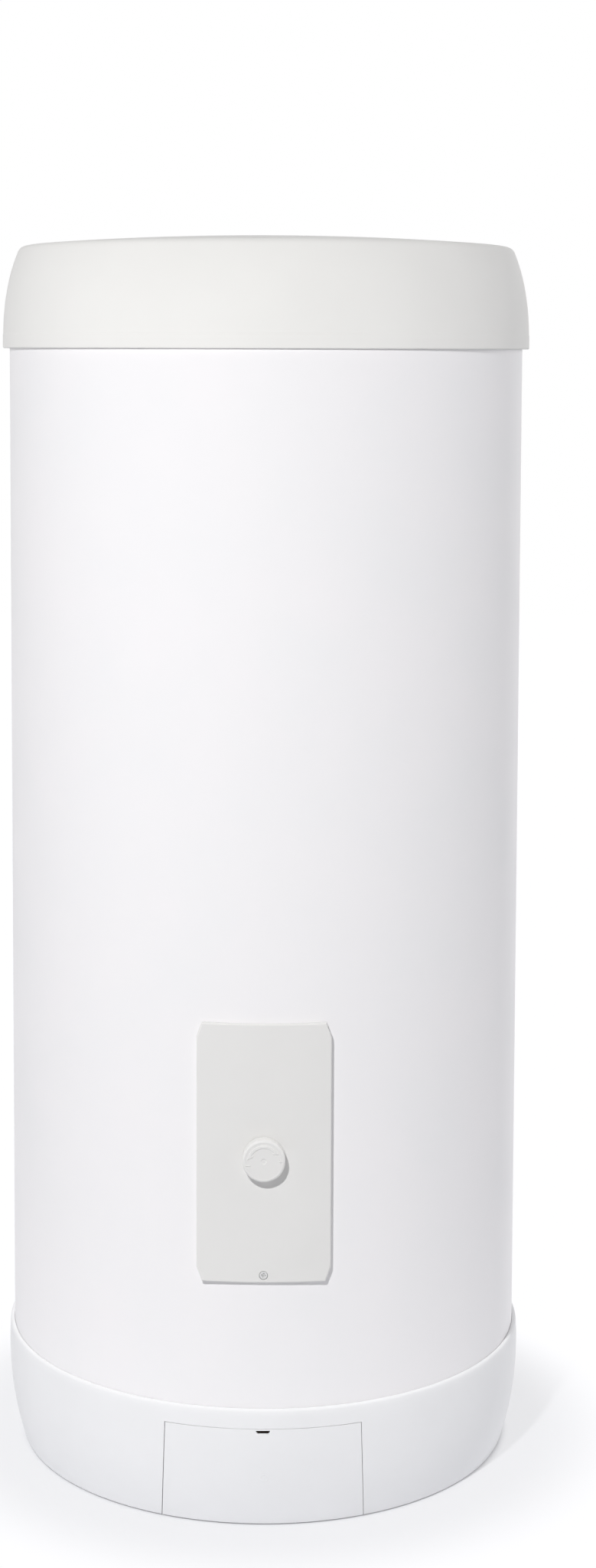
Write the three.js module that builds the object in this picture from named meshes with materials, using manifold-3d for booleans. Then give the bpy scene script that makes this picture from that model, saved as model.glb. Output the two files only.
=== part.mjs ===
// Floor-standing electric water heater for about 190 litres, built as the assembly
// that a fitter would take apart: casing, insulated steel tank, immersion heater
// behind the service cover, valves behind the base hatch, and three screw feet.
//
// Millimetres, +Z up, front towards -Y, origin on the floor under the tank's axis.
import * as THREE from "three";
import { mergeVertices } from "three/addons/utils/BufferGeometryUtils.js";
import Module from "manifold-3d";

const wasm = await Module();
wasm.setup();

// ------------------------------------------------------------------ clearances
const FIT = 0.3; // between assembled faces
const RUN = 0.4; // radial, around a shaft, screw or thread
const SLEEVE_GAP = 1; // radial, between the jacket and the mouldings over it
const PAST = 1; // how far a cut runs past a face, or a joined bar into one

// ------------------------------------------------------------------ facet counts
const SIDES = 60; // casing, shared by what nests closely in it
const TANK_SIDES = 30; // tank and insulation
const PIPE_SIDES = 16;
const SMALL_SIDES = 12;
const GRIP_SIDES = 24;
const KNOB_SIDES = 32;

// ------------------------------------------------------------------ casing
const JACKET_RADIUS = 282;
const JACKET_SHEET = 0.8;
const JACKET_SHOWN = 1088.5; // between the skirt's rim and the lid
const LAP_WIDTH = 14; // overlap of the rolled sheet, at the back
const LAP_THICK = 0.6;

const SKIRT_LIFT = 1.6; // floor to the skirt's lower edge
const SKIRT_HEIGHT = 127.9;
const SKIRT_OVERHANG = 5.5; // beyond the jacket at the widest
const SKIRT_WIDEST = 108.2; // height of the widest ring above the lower edge
const SKIRT_TUCK = 15.7; // drawn in at the lower edge
const SKIRT_TUCK_CURVE = 2.25; // power by which it is drawn in downwards
const SKIRT_LEAN = 1.2; // drawn in at the rim
const SKIRT_LEAN_CURVE = 1.5; // power by which it is drawn in upwards
const SKIRT_WALL = 3.2;
const SHELF_THICK = 3; // ring inside the skirt that is screwed to the base pan
const SHELF_REACH = 14;

const LID_OVERHANG = 7.5; // beyond the jacket at the lower edge
const LID_SIDE = 104.8; // lower edge to the start of the shoulder
const LID_DRAFT = 17; // drawn in at the start of the shoulder
const LID_CURVE = 2.6; // power by which it is drawn in upwards
const LID_SHOULDER = 9; // shoulder radius
const LID_CROWN = 11; // rise of the crown over the shoulder
const LID_WALL = 3;
const LID_BEVEL = 3; // under the lower edge
const LID_SEAT = 12; // depth of jacket that the lid covers
const LID_RIB = 4.5; // reach of the rib that stands on the jacket's edge

// ------------------------------------------------------------------ base hatch
const HATCH_DROP = 20.4; // skirt's rim to the hatch's upper edge
const HATCH_TOP_WIDTH = 203.4;
const HATCH_BOTTOM_WIDTH = 210.6;
const HATCH_GAP = 0.7;
const SLOT_DROP = 1.3; // release slot, under the hatch's upper edge
const SLOT_HEIGHT = 2.5;
const SLOT_TOP_WIDTH = 14;
const SLOT_BOTTOM_WIDTH = 10.3;
const CATCH_WIDTH = 40;
const CATCH_REACH = 12;
const CATCH_THICK = 2.5;

// ------------------------------------------------------------------ service cover
const COVER_RISE = 134.9; // skirt's rim to the cover's lower edge
const COVER_WIDTH = 138;
const COVER_HEIGHT = 269.4;
const COVER_PROUD = 5; // front of the cover beyond the jacket, on the middle line
const COVER_FACE_RADIUS = 400; // flatter than the jacket
const COVER_WALL = 2.5;
const COVER_CUT_WIDTH = 5.5; // slanted corners
const COVER_CUT_HEIGHT = 15;
const PEG_RADIUS = 2.5; // locating pegs at the top of the cover
const PEG_SPREAD = 90;
const PEG_DROP = 7; // cover's upper edge to the pegs
const PEG_LENGTH = 13;

const KNOB_RISE = 131.2; // cover's lower edge to the knob
const KNOB_RADIUS = 22;
const KNOB_DEPTH = 13;
const KNOB_LIFT = 0.6; // knob's back off the cover
const KNOB_EDGE = 2.5; // rounding of the front edge
const HUB_RADIUS = 6.2;
const HUB_LENGTH = 10.6; // knob's back to the end of its hub
const SPINDLE_RADIUS = 3;
const SPINDLE_FLAT = 0.9; // depth of the flat that drives the spindle
const SPINDLE_GRIP = 6; // length of spindle inside the hub
const SPINDLE_SEAT = 8; // length of spindle inside the thermostat

const SCREW_RISE = 7.7; // cover's lower edge to its screw
const SCREW_HEAD_RADIUS = 4.2;
const SCREW_HEAD_THICK = 2.2;
const SCREW_RADIUS = 2;
const SCREW_LENGTH = 15;
const SCREW_BOSS_RADIUS = 4.6;
const SCREW_BOSS_DEPTH = 14;
const CROSS_LENGTH = 5;
const CROSS_WIDTH = 1.1;
const CROSS_DEPTH = 1.3;

// ------------------------------------------------------------------ base
const PAN_DROP = 9.5; // skirt's rim to the top of the base pan
const PAN_SHEET = 2;
const PAN_CHANNEL = 12; // depth of the channel round the pan's edge
const PAN_LIP = 9;
const RISER_HOLE_GAP = 2; // round the pipes that pass the base pan
const LEG_RADIUS = 28;
const LEG_SHEET = 2.5;
const LEG_INSET = 65.8; // base pan's edge to the legs' axes
const LEG_CLEAR = 28; // floor to the underside of a leg
const LEG_ANGLES = [90, 210, 330];
const STUD_RADIUS = 5;
const STUD_LENGTH = 74;
const STUD_HEX = 17; // across flats
const STUD_HEX_THICK = 4;
const PAD_RADIUS = 21;
const PAD_EDGE = 5;
const PAD_HEIGHT = 12;
const PAD_HUB_RADIUS = 10;
const PAD_FLOOR = 3.5; // under the stud's end
const LOCKNUT_THICK = 8;
const SHELF_SCREW_ANGLES = [45, 165, 285];
const SHELF_SCREW_RADIUS = 2;
const SHELF_SCREW_HEAD = 3.6;
const SHELF_SCREW_HEAD_THICK = 2.4;
const SHELF_SCREW_LENGTH = 10;

// ------------------------------------------------------------------ tank and insulation
const INSULATION = 41.2; // jacket's sheet to the tank's wall
const TANK_SHEET = 1.6;
const DOME_DEPTH = 88;
const TANK_RISE = 120; // base pan to the lower weld
const TANK_DROP = 18; // lid's edge down to the upper weld
const FOAM_GAP = 1.2; // around the tank
const FOAM_LAP = 5; // side foam above the upper weld
const TOP_FOAM_GAP = 2; // under the lid

// ------------------------------------------------------------------ electrical pocket
const LINER_GAP = 3; // tank's wall to the liner's back
const LINER_WALL = 2.2;
const LINER_WIDTH = 112; // inside
const LINER_BOTTOM_MARGIN = 16.6; // cover's lower edge to the pocket
const LINER_TOP_MARGIN = 14.8;
const LINER_FLANGE = 1.8;
const FLANGE_MARGIN = 2.4; // cover's edge to the flange's edge
const WINDOW_GAP = 0.8; // jacket's cut-out round the liner

const ELEMENT_RISE = 41; // pocket's floor to the element
const BOSS_RADIUS = 28;
const BOSS_LENGTH = 14;
const BOSS_INSIDE = 3; // reach inside the tank
const THREAD_RADIUS = 19.4;
const GASKET_RADIUS = 26;
const GASKET_THICK = 2;
const ELEMENT_HEX = 50; // across flats
const ELEMENT_HEX_THICK = 10;
const ELEMENT_PLUG = 22;
const ELEMENT_LENGTH = 380;
const SHEATH_RADIUS = 3.5;
const SHEATH_ROWS = [-11, 0, 11];
const HAIRPIN_HALF = 9;
const TERMINAL_RADIUS = 2.5;
const TERMINAL_LENGTH = 8;
const TERMINAL_SPREAD = 12;

const THERMOSTAT_WIDTH = 56;
const THERMOSTAT_HEIGHT = 62;
const THERMOSTAT_DEPTH = 24;
const BUSH_RADIUS = 6;
const BUSH_LENGTH = 3;
const BUTTON_RADIUS = 3.5;
const BUTTON_LENGTH = 8;
const BUTTON_STROKE = 2;
const BUTTON_PROUD = 3.5;
const BUTTON_ASIDE = 17; // from the spindle, sideways
const BUTTON_ABOVE = 20; // from the spindle, upwards

const SENSOR_DROP = 71; // pocket's ceiling to the sensor pocket
const SENSOR_RADIUS = 6;
const SENSOR_BORE = 4.2;
const SENSOR_LENGTH = 176;
const SENSOR_END = 3; // closed end of the pocket
const SENSOR_FLANGE = 9;
const SENSOR_FLANGE_THICK = 3;
const BULB_RADIUS = 3;
const BULB_LENGTH = 90;
const BULB_SETBACK = 6; // pocket's mouth to the bulb
const CAPILLARY_RADIUS = 1;

const BLOCK_DROP = 19; // pocket's ceiling to the terminal block
const BLOCK_WIDTH = 66;
const BLOCK_HEIGHT = 22;
const BLOCK_DEPTH = 18;
const BLOCK_POLES = 4;
const BLOCK_SCREW_RADIUS = 2.6;
const BLOCK_SCREW_DEPTH = 4;
const WIRE_RADIUS = 1.6;

const CONDUIT_ASIDE = 36;
const CONDUIT_RADIUS = 8;
const CONDUIT_BORE = 6.5;
const GLAND_HEX = 19;
const GLAND_HEX_THICK = 8;
const GLAND_BORE = 4.5;
const GLAND_NECK = 6;
const GLAND_TAIL_RADIUS = 8.5;
const GLAND_TAIL = 4;

// ------------------------------------------------------------------ valves and pipes
const VALVE_DROP = 46; // base pan's channel to the valves' axis
const VALVE_SETBACK = 92; // jacket's front to the valves' axis
const VALVE_SPACING = 104;
const VALVE_BODY_RADIUS = 15;
const VALVE_BODY_HALF = 17; // half of the barrel's height
const PORT_RADIUS = 13;
const PORT_REACH = 29;
const PORT_BORE_DEPTH = 10;
const RELIEF_PORT_RADIUS = 9.6;
const BONNET_RADIUS = 12;
const BONNET_REACH = 24;
const VALVE_SPINDLE_RADIUS = 4;
const VALVE_SPINDLE_LENGTH = 12;
const MIXER_KNOB_RADIUS = 18;
const MIXER_KNOB_LENGTH = 26;
const RELIEF_KNOB_RADIUS = 15;
const RELIEF_KNOB_LENGTH = 20;
const VALVE_KNOB_BACK = 3; // depth and rim of the recess behind a valve knob
const GRIP_GROOVE_RADIUS = 3;
const GRIP_GROOVE_OUT = 1; // grooves' axes beyond the knob's side
const GRIP_COLLAR = 5; // plain stretch at the knob's back

const PIPE_RADIUS = 11;
const PIPE_WALL = 1.2;
const OVERFLOW_RADIUS = 7.5;
const OVERFLOW_ASIDE = 48; // from the cold pipe
const OVERFLOW_BEND = 18;
const PIPE_REAR = 8.5; // pipe ends beyond the skirt, at the back
const NUT_HEX = 31;
const NUT_OVER_PORT = 9;
const NUT_OVER_PIPE = 7;
const NOTCH_MARGIN = 10; // round the pipes, in the back of the skirt
const HOT_PIPE_RISE = 20; // above the upper weld
const COLD_PIPE_RISE = 8; // above the lower weld
const DIFFUSER_RADIUS = 24;
const DIFFUSER_THICK = 2;
const DIFFUSER_WINDOW = 9; // height of the four windows under the plate
const DIFFUSER_WINDOW_WIDTH = 13.2;

// ------------------------------------------------------------------ derived places
const skirtTopZ = SKIRT_LIFT + SKIRT_HEIGHT;
const skirtRadius = JACKET_RADIUS + SKIRT_OVERHANG;
const panTopZ = skirtTopZ - PAN_DROP;
const panLowZ = panTopZ - PAN_CHANNEL;
const shelfTopZ = panLowZ - FIT;
const shelfLowZ = shelfTopZ - SHELF_THICK;
const seamZ = skirtTopZ + JACKET_SHOWN;
const jacketTopZ = seamZ + LID_SEAT;
const jacketBore = JACKET_RADIUS - JACKET_SHEET;
const panRadius = jacketBore - RUN;
const shelfScrewCircle = panRadius - (PAN_LIP + PAN_SHEET) / 2;
const legCircle = panRadius - LEG_INSET;

const tankRadius = jacketBore - INSULATION;
const tankLowZ = panTopZ + TANK_RISE;
const tankHighZ = seamZ - TANK_DROP;
const foamTopZ = tankHighZ + FOAM_LAP;

const coverLowZ = skirtTopZ + COVER_RISE;
const coverHighZ = coverLowZ + COVER_HEIGHT;
const coverFrontY = -(JACKET_RADIUS + COVER_PROUD);
const coverInnerY = coverFrontY + COVER_WALL;
const knobZ = coverLowZ + KNOB_RISE;
const coverScrewZ = coverLowZ + SCREW_RISE;
const pegZ = coverHighZ - PEG_DROP;

const linerBackY = -(tankRadius + LINER_GAP);
const linerFloorY = linerBackY - LINER_WALL;
const pocketLowZ = coverLowZ + LINER_BOTTOM_MARGIN;
const pocketHighZ = coverHighZ - LINER_TOP_MARGIN;
const flangeRadius = jacketBore - RUN;
const screwBossEndY = -flangeRadius + SCREW_BOSS_DEPTH;
const wallCutEndY = -tankRadius * 0.8; // well inside the tank's wall
const elementZ = pocketLowZ + ELEMENT_RISE;
const bossFrontY = -(tankRadius + BOSS_LENGTH - BOSS_INSIDE - TANK_SHEET);
const gasketFrontY = bossFrontY - FIT - GASKET_THICK;
const elementBackY = gasketFrontY - FIT;
const elementFrontY = elementBackY - ELEMENT_HEX_THICK;
const seatY = linerFloorY - FIT; // back of what stands on the liner
const thermostatFrontY = seatY - THERMOSTAT_DEPTH;
const sensorZ = pocketHighZ - SENSOR_DROP;
const blockZ = pocketHighZ - BLOCK_DROP;
const conduitRadius = -linerFloorY + CONDUIT_RADIUS + 2 * FIT + RUN;
const conduitY = -Math.sqrt(conduitRadius ** 2 - CONDUIT_ASIDE ** 2);
const knobBackY = coverFrontY - KNOB_LIFT;
const hubEndY = knobBackY + HUB_LENGTH;

const valveZ = panLowZ - VALVE_DROP;
const valveY = -(JACKET_RADIUS - VALVE_SETBACK);
const coldX = -VALVE_SPACING / 2;
const hotX = VALVE_SPACING / 2;
const overflowX = coldX - OVERFLOW_ASIDE;
const pipeEndY = skirtRadius + PIPE_REAR;
const portSeat = PORT_REACH - PORT_BORE_DEPTH; // valve's axis to a pipe's end

// ------------------------------------------------------------------ solids

/** A closed three.js geometry as a solid that can be joined and cut. */
function solidOf(geometry) {
  const bare = geometry.clone();
  bare.deleteAttribute("normal");
  bare.deleteAttribute("uv");
  const merged = mergeVertices(bare, 1e-4);
  const corners = merged.index.array;
  const kept = [];
  for (let i = 0; i < corners.length; i += 3) {
    const [a, b, c] = corners.slice(i, i + 3);
    if (a !== b && b !== c && c !== a) kept.push(a, b, c);
  }
  const vertProperties = merged.attributes.position.array;
  const triVerts = new Uint32Array(kept);
  return new wasm.Manifold(new wasm.Mesh({ numProp: 3, vertProperties, triVerts }));
}

/** A solid turned about Z from a closed outline of [radius, height] corners. */
function revolve(outline, sides = SIDES) {
  const points = outline.map(([r, z]) => new THREE.Vector2(r, z));
  if (THREE.ShapeUtils.area(points) < 0) points.reverse();
  points.push(points[0]);
  return solidOf(new THREE.LatheGeometry(points, sides).rotateX(Math.PI / 2));
}

/** A plain ring about Z. */
function ring(inner, outer, low, high, sides = SIDES) {
  return revolve([[inner, low], [outer, low], [outer, high], [inner, high]], sides);
}

/** A box from its lowest to its highest corner. */
function block([x0, y0, z0], [x1, y1, z1]) {
  const box = new THREE.BoxGeometry(x1 - x0, y1 - y0, z1 - z0);
  return solidOf(box.translate((x0 + x1) / 2, (y0 + y1) / 2, (z0 + z1) / 2));
}

/** An outline of [x, z] corners seen from the front, from y = back forwards by depth. */
function frontPrism(outline, back, depth) {
  const shape = new THREE.Shape(outline.map(([x, z]) => new THREE.Vector2(x, z)));
  const body = new THREE.ExtrudeGeometry(shape, { depth, bevelEnabled: false });
  return solidOf(body.rotateX(Math.PI / 2).translate(0, back, 0));
}

/** An outline of [x, y] corners seen from above, from z = low up by height. */
function planPrism(outline, low, height) {
  const shape = new THREE.Shape(outline.map(([x, y]) => new THREE.Vector2(x, y)));
  const body = new THREE.ExtrudeGeometry(shape, { depth: height, bevelEnabled: false });
  return solidOf(body.translate(0, 0, low));
}

/** A round bar between two points. */
function rod(from, to, radius, sides = SMALL_SIDES) {
  const start = new THREE.Vector3(...from);
  const along = new THREE.Vector3(...to).sub(start);
  const length = along.length();
  const turn = new THREE.Quaternion().setFromUnitVectors(
    new THREE.Vector3(0, 1, 0),
    along.clone().normalize(),
  );
  const bar = new THREE.CylinderGeometry(radius, radius, length, sides);
  const middle = start.addScaledVector(along, 0.5);
  return solidOf(bar.applyQuaternion(turn).translate(middle.x, middle.y, middle.z));
}

/** A hexagonal bar between two points, by its width across flats. */
function hexBar(from, to, flats) {
  return rod(from, to, flats / Math.sqrt(3), 6);
}

/** A tube between two points. */
function pipe(from, to, radius, bore, sides = PIPE_SIDES) {
  const start = new THREE.Vector3(...from);
  const end = new THREE.Vector3(...to);
  const over = end.clone().sub(start).normalize();
  const clearFrom = start.clone().sub(over).toArray();
  const clearTo = end.clone().add(over).toArray();
  return rod(from, to, radius, sides).subtract(rod(clearFrom, clearTo, bore, sides));
}

/** A round bar swept along a curve. */
function sweep(curve, radius, steps, sides) {
  const section = new THREE.Shape();
  for (let i = 0; i < sides; i += 1) {
    const angle = (2 * Math.PI * i) / sides;
    const [x, y] = [radius * Math.cos(angle), radius * Math.sin(angle)];
    if (i) section.lineTo(x, y);
    else section.moveTo(x, y);
  }
  section.closePath();
  return solidOf(new THREE.ExtrudeGeometry(section, { extrudePath: curve, steps }));
}

/** A point on a circle about Z, by its angle in degrees from +X. */
function onCircle(radius, degrees) {
  const angle = THREE.MathUtils.degToRad(degrees);
  return [radius * Math.cos(angle), radius * Math.sin(angle)];
}

function join(...solids) {
  return solids.reduce((all, next) => all.add(next));
}

function cut(solid, ...tools) {
  return tools.reduce((left, tool) => left.subtract(tool), solid);
}

// ------------------------------------------------------------------ casing

/** Outer radius of the lid at a height over its lower edge. */
function lidSideRadius(height) {
  const share = height / LID_SIDE;
  return JACKET_RADIUS + LID_OVERHANG - LID_DRAFT * share ** LID_CURVE;
}

/** The lid's skin from a height over its lower edge up to the axis, moved inwards. */
function lidSkin(fromHeight, inset, sideSteps, bendSteps) {
  const points = [];
  for (let i = 0; i <= sideSteps; i += 1) {
    const height = fromHeight + ((LID_SIDE - fromHeight) * i) / sideSteps;
    points.push([lidSideRadius(height) - inset, seamZ + height]);
  }
  const startAngle = Math.atan((LID_CURVE * LID_DRAFT) / LID_SIDE);
  const centreR = lidSideRadius(LID_SIDE) - LID_SHOULDER * Math.cos(startAngle);
  const centreZ = seamZ + LID_SIDE - LID_SHOULDER * Math.sin(startAngle);
  const endAngle = Math.PI / 2 - Math.atan((2 * LID_CROWN) / centreR);
  const bend = LID_SHOULDER - inset;
  for (let i = 1; i <= bendSteps; i += 1) {
    const angle = startAngle + ((endAngle - startAngle) * i) / bendSteps;
    points.push([centreR + bend * Math.cos(angle), centreZ + bend * Math.sin(angle)]);
  }
  const [edgeR, edgeZ] = points[points.length - 1];
  for (const share of [0.6, 0]) {
    points.push([edgeR * share, edgeZ + LID_CROWN * (1 - share ** 2)]);
  }
  return points;
}

function topCover() {
  const mouth = JACKET_RADIUS + SLEEVE_GAP;
  const ribZ = jacketTopZ + FIT;
  const ribRadius = mouth - LID_RIB;
  const ribTop = LID_SEAT + FIT + LID_WALL;
  const outside = [[mouth, seamZ], ...lidSkin(LID_BEVEL, 0, 4, 3)];
  const inside = lidSkin(ribTop, LID_WALL, 2, 2).reverse();
  const rib = [
    [ribRadius, seamZ + ribTop],
    [ribRadius, ribZ],
    [mouth, ribZ],
  ];
  return revolve([...outside, ...inside, ...rib]);
}

function coverOutline(inset) {
  const half = COVER_WIDTH / 2 - inset;
  const [low, high] = [coverLowZ + inset, coverHighZ - inset];
  return [
    [-half + COVER_CUT_WIDTH, low],
    [half - COVER_CUT_WIDTH, low],
    [half, low + COVER_CUT_HEIGHT],
    [half, high - COVER_CUT_HEIGHT],
    [half - COVER_CUT_WIDTH, high],
    [-half + COVER_CUT_WIDTH, high],
    [-half, high - COVER_CUT_HEIGHT],
    [-half, low + COVER_CUT_HEIGHT],
  ];
}

/** The space between the jacket and the cover's face, moved inwards from the face. */
function coverSpace(inset, backRadius) {
  const half = COVER_WIDTH / 2 + 1;
  const steps = 12;
  const centreY = coverFrontY + COVER_FACE_RADIUS;
  const face = [];
  const back = [];
  for (let i = 0; i <= steps; i += 1) {
    const x = -half + (2 * half * i) / steps;
    face.push([x, centreY + inset - Math.sqrt(COVER_FACE_RADIUS ** 2 - x ** 2)]);
    back.unshift([x, -Math.sqrt(backRadius ** 2 - x ** 2)]);
  }
  return planPrism([...face, ...back], coverLowZ - PAST, COVER_HEIGHT + 2 * PAST);
}

function serviceCover() {
  const deep = -coverFrontY;
  const backRadius = JACKET_RADIUS + FIT;
  const shell = frontPrism(coverOutline(0), 0, deep + PAST).intersect(coverSpace(0, backRadius));
  const hollow = frontPrism(coverOutline(COVER_WALL), 0, deep + PAST).intersect(
    coverSpace(COVER_WALL, backRadius - PAST),
  );
  const bossRadius = SCREW_HEAD_RADIUS + RUN + COVER_WALL / 2;
  const bossBackY = -(JACKET_RADIUS + FIT);
  const boss = rod([0, bossBackY, coverScrewZ], [0, coverInnerY - PAST / 2, coverScrewZ], bossRadius);
  const sink = SCREW_HEAD_THICK + 0.2;
  const cover = cut(
    join(cut(shell, hollow), boss, ...coverPegs()),
    rod([0, coverFrontY - PAST, coverScrewZ], [0, coverFrontY + sink, coverScrewZ], SCREW_HEAD_RADIUS + RUN),
    rod([0, coverFrontY, coverScrewZ], [0, bossBackY + PAST, coverScrewZ], SCREW_RADIUS + RUN),
    rod([0, coverFrontY - PAST, knobZ], [0, coverInnerY + PAST, knobZ], HUB_RADIUS + RUN),
  );
  return cover;
}

/** Where a peg leaves the back of the cover's face. */
function pegStartY() {
  const x = PEG_SPREAD / 2;
  const centreY = coverInnerY + COVER_FACE_RADIUS;
  return centreY - Math.sqrt(COVER_FACE_RADIUS ** 2 - x ** 2);
}

function pegRods(radius) {
  const [startY, endY] = [pegStartY() - PAST, pegStartY() + PEG_LENGTH];
  return [-1, 1].map((side) => {
    const x = (side * PEG_SPREAD) / 2;
    return rod([x, startY, pegZ], [x, endY, pegZ], radius, 12);
  });
}

function coverPegs() {
  return pegRods(PEG_RADIUS);
}

/** The bores that the cover's pegs and screw pass through, behind the cover. */
function coverFixings() {
  return [
    ...pegRods(PEG_RADIUS + RUN),
    rod([0, coverFrontY, coverScrewZ], [0, screwBossEndY + PAST, coverScrewZ], SCREW_RADIUS + RUN),
  ];
}

function outerJacket() {
  const sheet = ring(jacketBore, JACKET_RADIUS, panLowZ, jacketTopZ);
  const lap = ring(jacketBore, JACKET_RADIUS + LAP_THICK, panLowZ, jacketTopZ).intersect(
    block([-LAP_WIDTH / 2, 0, panLowZ], [LAP_WIDTH / 2, 2 * JACKET_RADIUS, jacketTopZ]),
  );
  const half = LINER_WIDTH / 2 + LINER_WALL + WINDOW_GAP;
  const margin = LINER_WALL + WINDOW_GAP;
  const window = block(
    [-half, -JACKET_RADIUS - PAST, pocketLowZ - margin],
    [half, 0, pocketHighZ + margin],
  );
  return cut(join(sheet, lap), window, ...coverFixings());
}

function skirtRadiusAt(height) {
  if (height < SKIRT_WIDEST) {
    return skirtRadius - SKIRT_TUCK * (1 - height / SKIRT_WIDEST) ** SKIRT_TUCK_CURVE;
  }
  const share = (height - SKIRT_WIDEST) / (SKIRT_HEIGHT - SKIRT_WIDEST);
  return skirtRadius - SKIRT_LEAN * share ** SKIRT_LEAN_CURVE;
}

/** The skirt's side as [radius, height] points, moved inwards. */
function skirtSide(inset) {
  const heights = [0, 0.2, 0.5, 1].map((share) => share * SKIRT_WIDEST);
  heights.push(SKIRT_HEIGHT);
  return heights.map((h) => [skirtRadiusAt(h) - inset, SKIRT_LIFT + h]);
}

function skirtWall() {
  return revolve([...skirtSide(0), ...skirtSide(SKIRT_WALL).reverse()]);
}

/** The hatch's outline from the front, with a margin all round. */
function hatchPrism(margin) {
  const highZ = skirtTopZ - HATCH_DROP + margin;
  const lowZ = SKIRT_LIFT - PAST;
  const topHalf = HATCH_TOP_WIDTH / 2 + margin;
  const bottomHalf = HATCH_BOTTOM_WIDTH / 2 + margin;
  const outline = [[-bottomHalf, lowZ], [bottomHalf, lowZ], [topHalf, highZ], [-topHalf, highZ]];
  return frontPrism(outline, -JACKET_RADIUS * 0.6, JACKET_RADIUS);
}

function baseSkirt() {
  const shelf = ring(skirtRadius - SKIRT_WALL - SHELF_REACH, skirtRadius - PAST, shelfLowZ, shelfTopZ);
  const beyond = skirtSide(-SKIRT_WALL * 2);
  const around = revolve([...skirtSide(SKIRT_WALL + FIT), ...beyond.reverse()]);
  const hatchOpening = around.intersect(hatchPrism(HATCH_GAP));
  const notch = block(
    [overflowX - OVERFLOW_RADIUS - NOTCH_MARGIN, JACKET_RADIUS / 2, SKIRT_LIFT - PAST],
    [hotX + PIPE_RADIUS + NOTCH_MARGIN, skirtRadius + PAST, valveZ + PIPE_RADIUS + NOTCH_MARGIN],
  );
  const screwHoles = SHELF_SCREW_ANGLES.map((angle) => {
    const [x, y] = onCircle(shelfScrewCircle, angle);
    return rod([x, y, shelfLowZ - PAST], [x, y, shelfTopZ + PAST], SHELF_SCREW_RADIUS + RUN, 12);
  });
  return cut(join(skirtWall(), shelf), hatchOpening, notch, ...screwHoles);
}

function baseHatch() {
  const highZ = skirtTopZ - HATCH_DROP;
  const [slotTop, slotLow] = [highZ - SLOT_DROP, highZ - SLOT_DROP - SLOT_HEIGHT];
  const slot = frontPrism(
    [
      [-SLOT_BOTTOM_WIDTH / 2, slotLow],
      [SLOT_BOTTOM_WIDTH / 2, slotLow],
      [SLOT_TOP_WIDTH / 2, slotTop],
      [-SLOT_TOP_WIDTH / 2, slotTop],
    ],
    -JACKET_RADIUS * 0.9,
    JACKET_RADIUS * 0.2,
  );
  const catchTopZ = shelfLowZ - FIT;
  const inner = skirtRadius - SKIRT_WALL;
  const catchBar = block(
    [-CATCH_WIDTH / 2, -inner - PAST, catchTopZ - CATCH_THICK],
    [CATCH_WIDTH / 2, -inner + CATCH_REACH, catchTopZ],
  );
  return cut(join(skirtWall().intersect(hatchPrism(0)), catchBar), slot);
}

// ------------------------------------------------------------------ knob and cover screw

/** A round bar along Y with a flat on its upper side, for a shaft or its socket. */
function flattedBar(backY, frontY, z, radius, flat) {
  const bar = rod([0, backY, z], [0, frontY, z], radius);
  const above = block(
    [-radius - PAST, frontY - PAST, z + radius - flat],
    [radius + PAST, backY + PAST, z + radius + PAST],
  );
  return bar.subtract(above);
}

function thermostatKnob() {
  const frontY = knobBackY - KNOB_DEPTH;
  const edge = KNOB_EDGE * (1 - Math.SQRT1_2);
  const profile = [
    [0, hubEndY],
    [HUB_RADIUS, hubEndY],
    [HUB_RADIUS, knobBackY],
    [KNOB_RADIUS, knobBackY],
    [KNOB_RADIUS, frontY + KNOB_EDGE],
    [KNOB_RADIUS - edge, frontY + edge],
    [KNOB_RADIUS - KNOB_EDGE, frontY],
    [0, frontY],
  ].map(([r, y]) => [r, -y]);
  const points = profile.map(([r, h]) => new THREE.Vector2(r, h));
  const turned = new THREE.LatheGeometry([...points, points[0]], KNOB_SIDES);
  const body = solidOf(turned.rotateX(Math.PI).translate(0, 0, knobZ));
  const socket = flattedBar(
    hubEndY + PAST,
    hubEndY - SPINDLE_GRIP - PAST,
    knobZ,
    SPINDLE_RADIUS + RUN,
    SPINDLE_FLAT,
  );
  return body.subtract(socket);
}

function thermostatSpindle() {
  const backY = thermostatFrontY + SPINDLE_SEAT;
  return flattedBar(backY, hubEndY - SPINDLE_GRIP, knobZ, SPINDLE_RADIUS, SPINDLE_FLAT);
}

function coverScrew() {
  const headY = coverFrontY + 0.1;
  const seat = headY + SCREW_HEAD_THICK;
  const head = rod([0, headY, coverScrewZ], [0, seat, coverScrewZ], SCREW_HEAD_RADIUS);
  const shank = rod([0, seat - PAST / 2, coverScrewZ], [0, seat + SCREW_LENGTH, coverScrewZ], SCREW_RADIUS);
  const [long, wide] = [CROSS_LENGTH / 2, CROSS_WIDTH / 2];
  const arms = [[long, wide], [wide, long]].map(([x, z]) =>
    block(
      [-x, headY - PAST, coverScrewZ - z],
      [x, headY + CROSS_DEPTH, coverScrewZ + z],
    ),
  );
  return cut(join(head, shank), ...arms);
}

// ------------------------------------------------------------------ base

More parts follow.
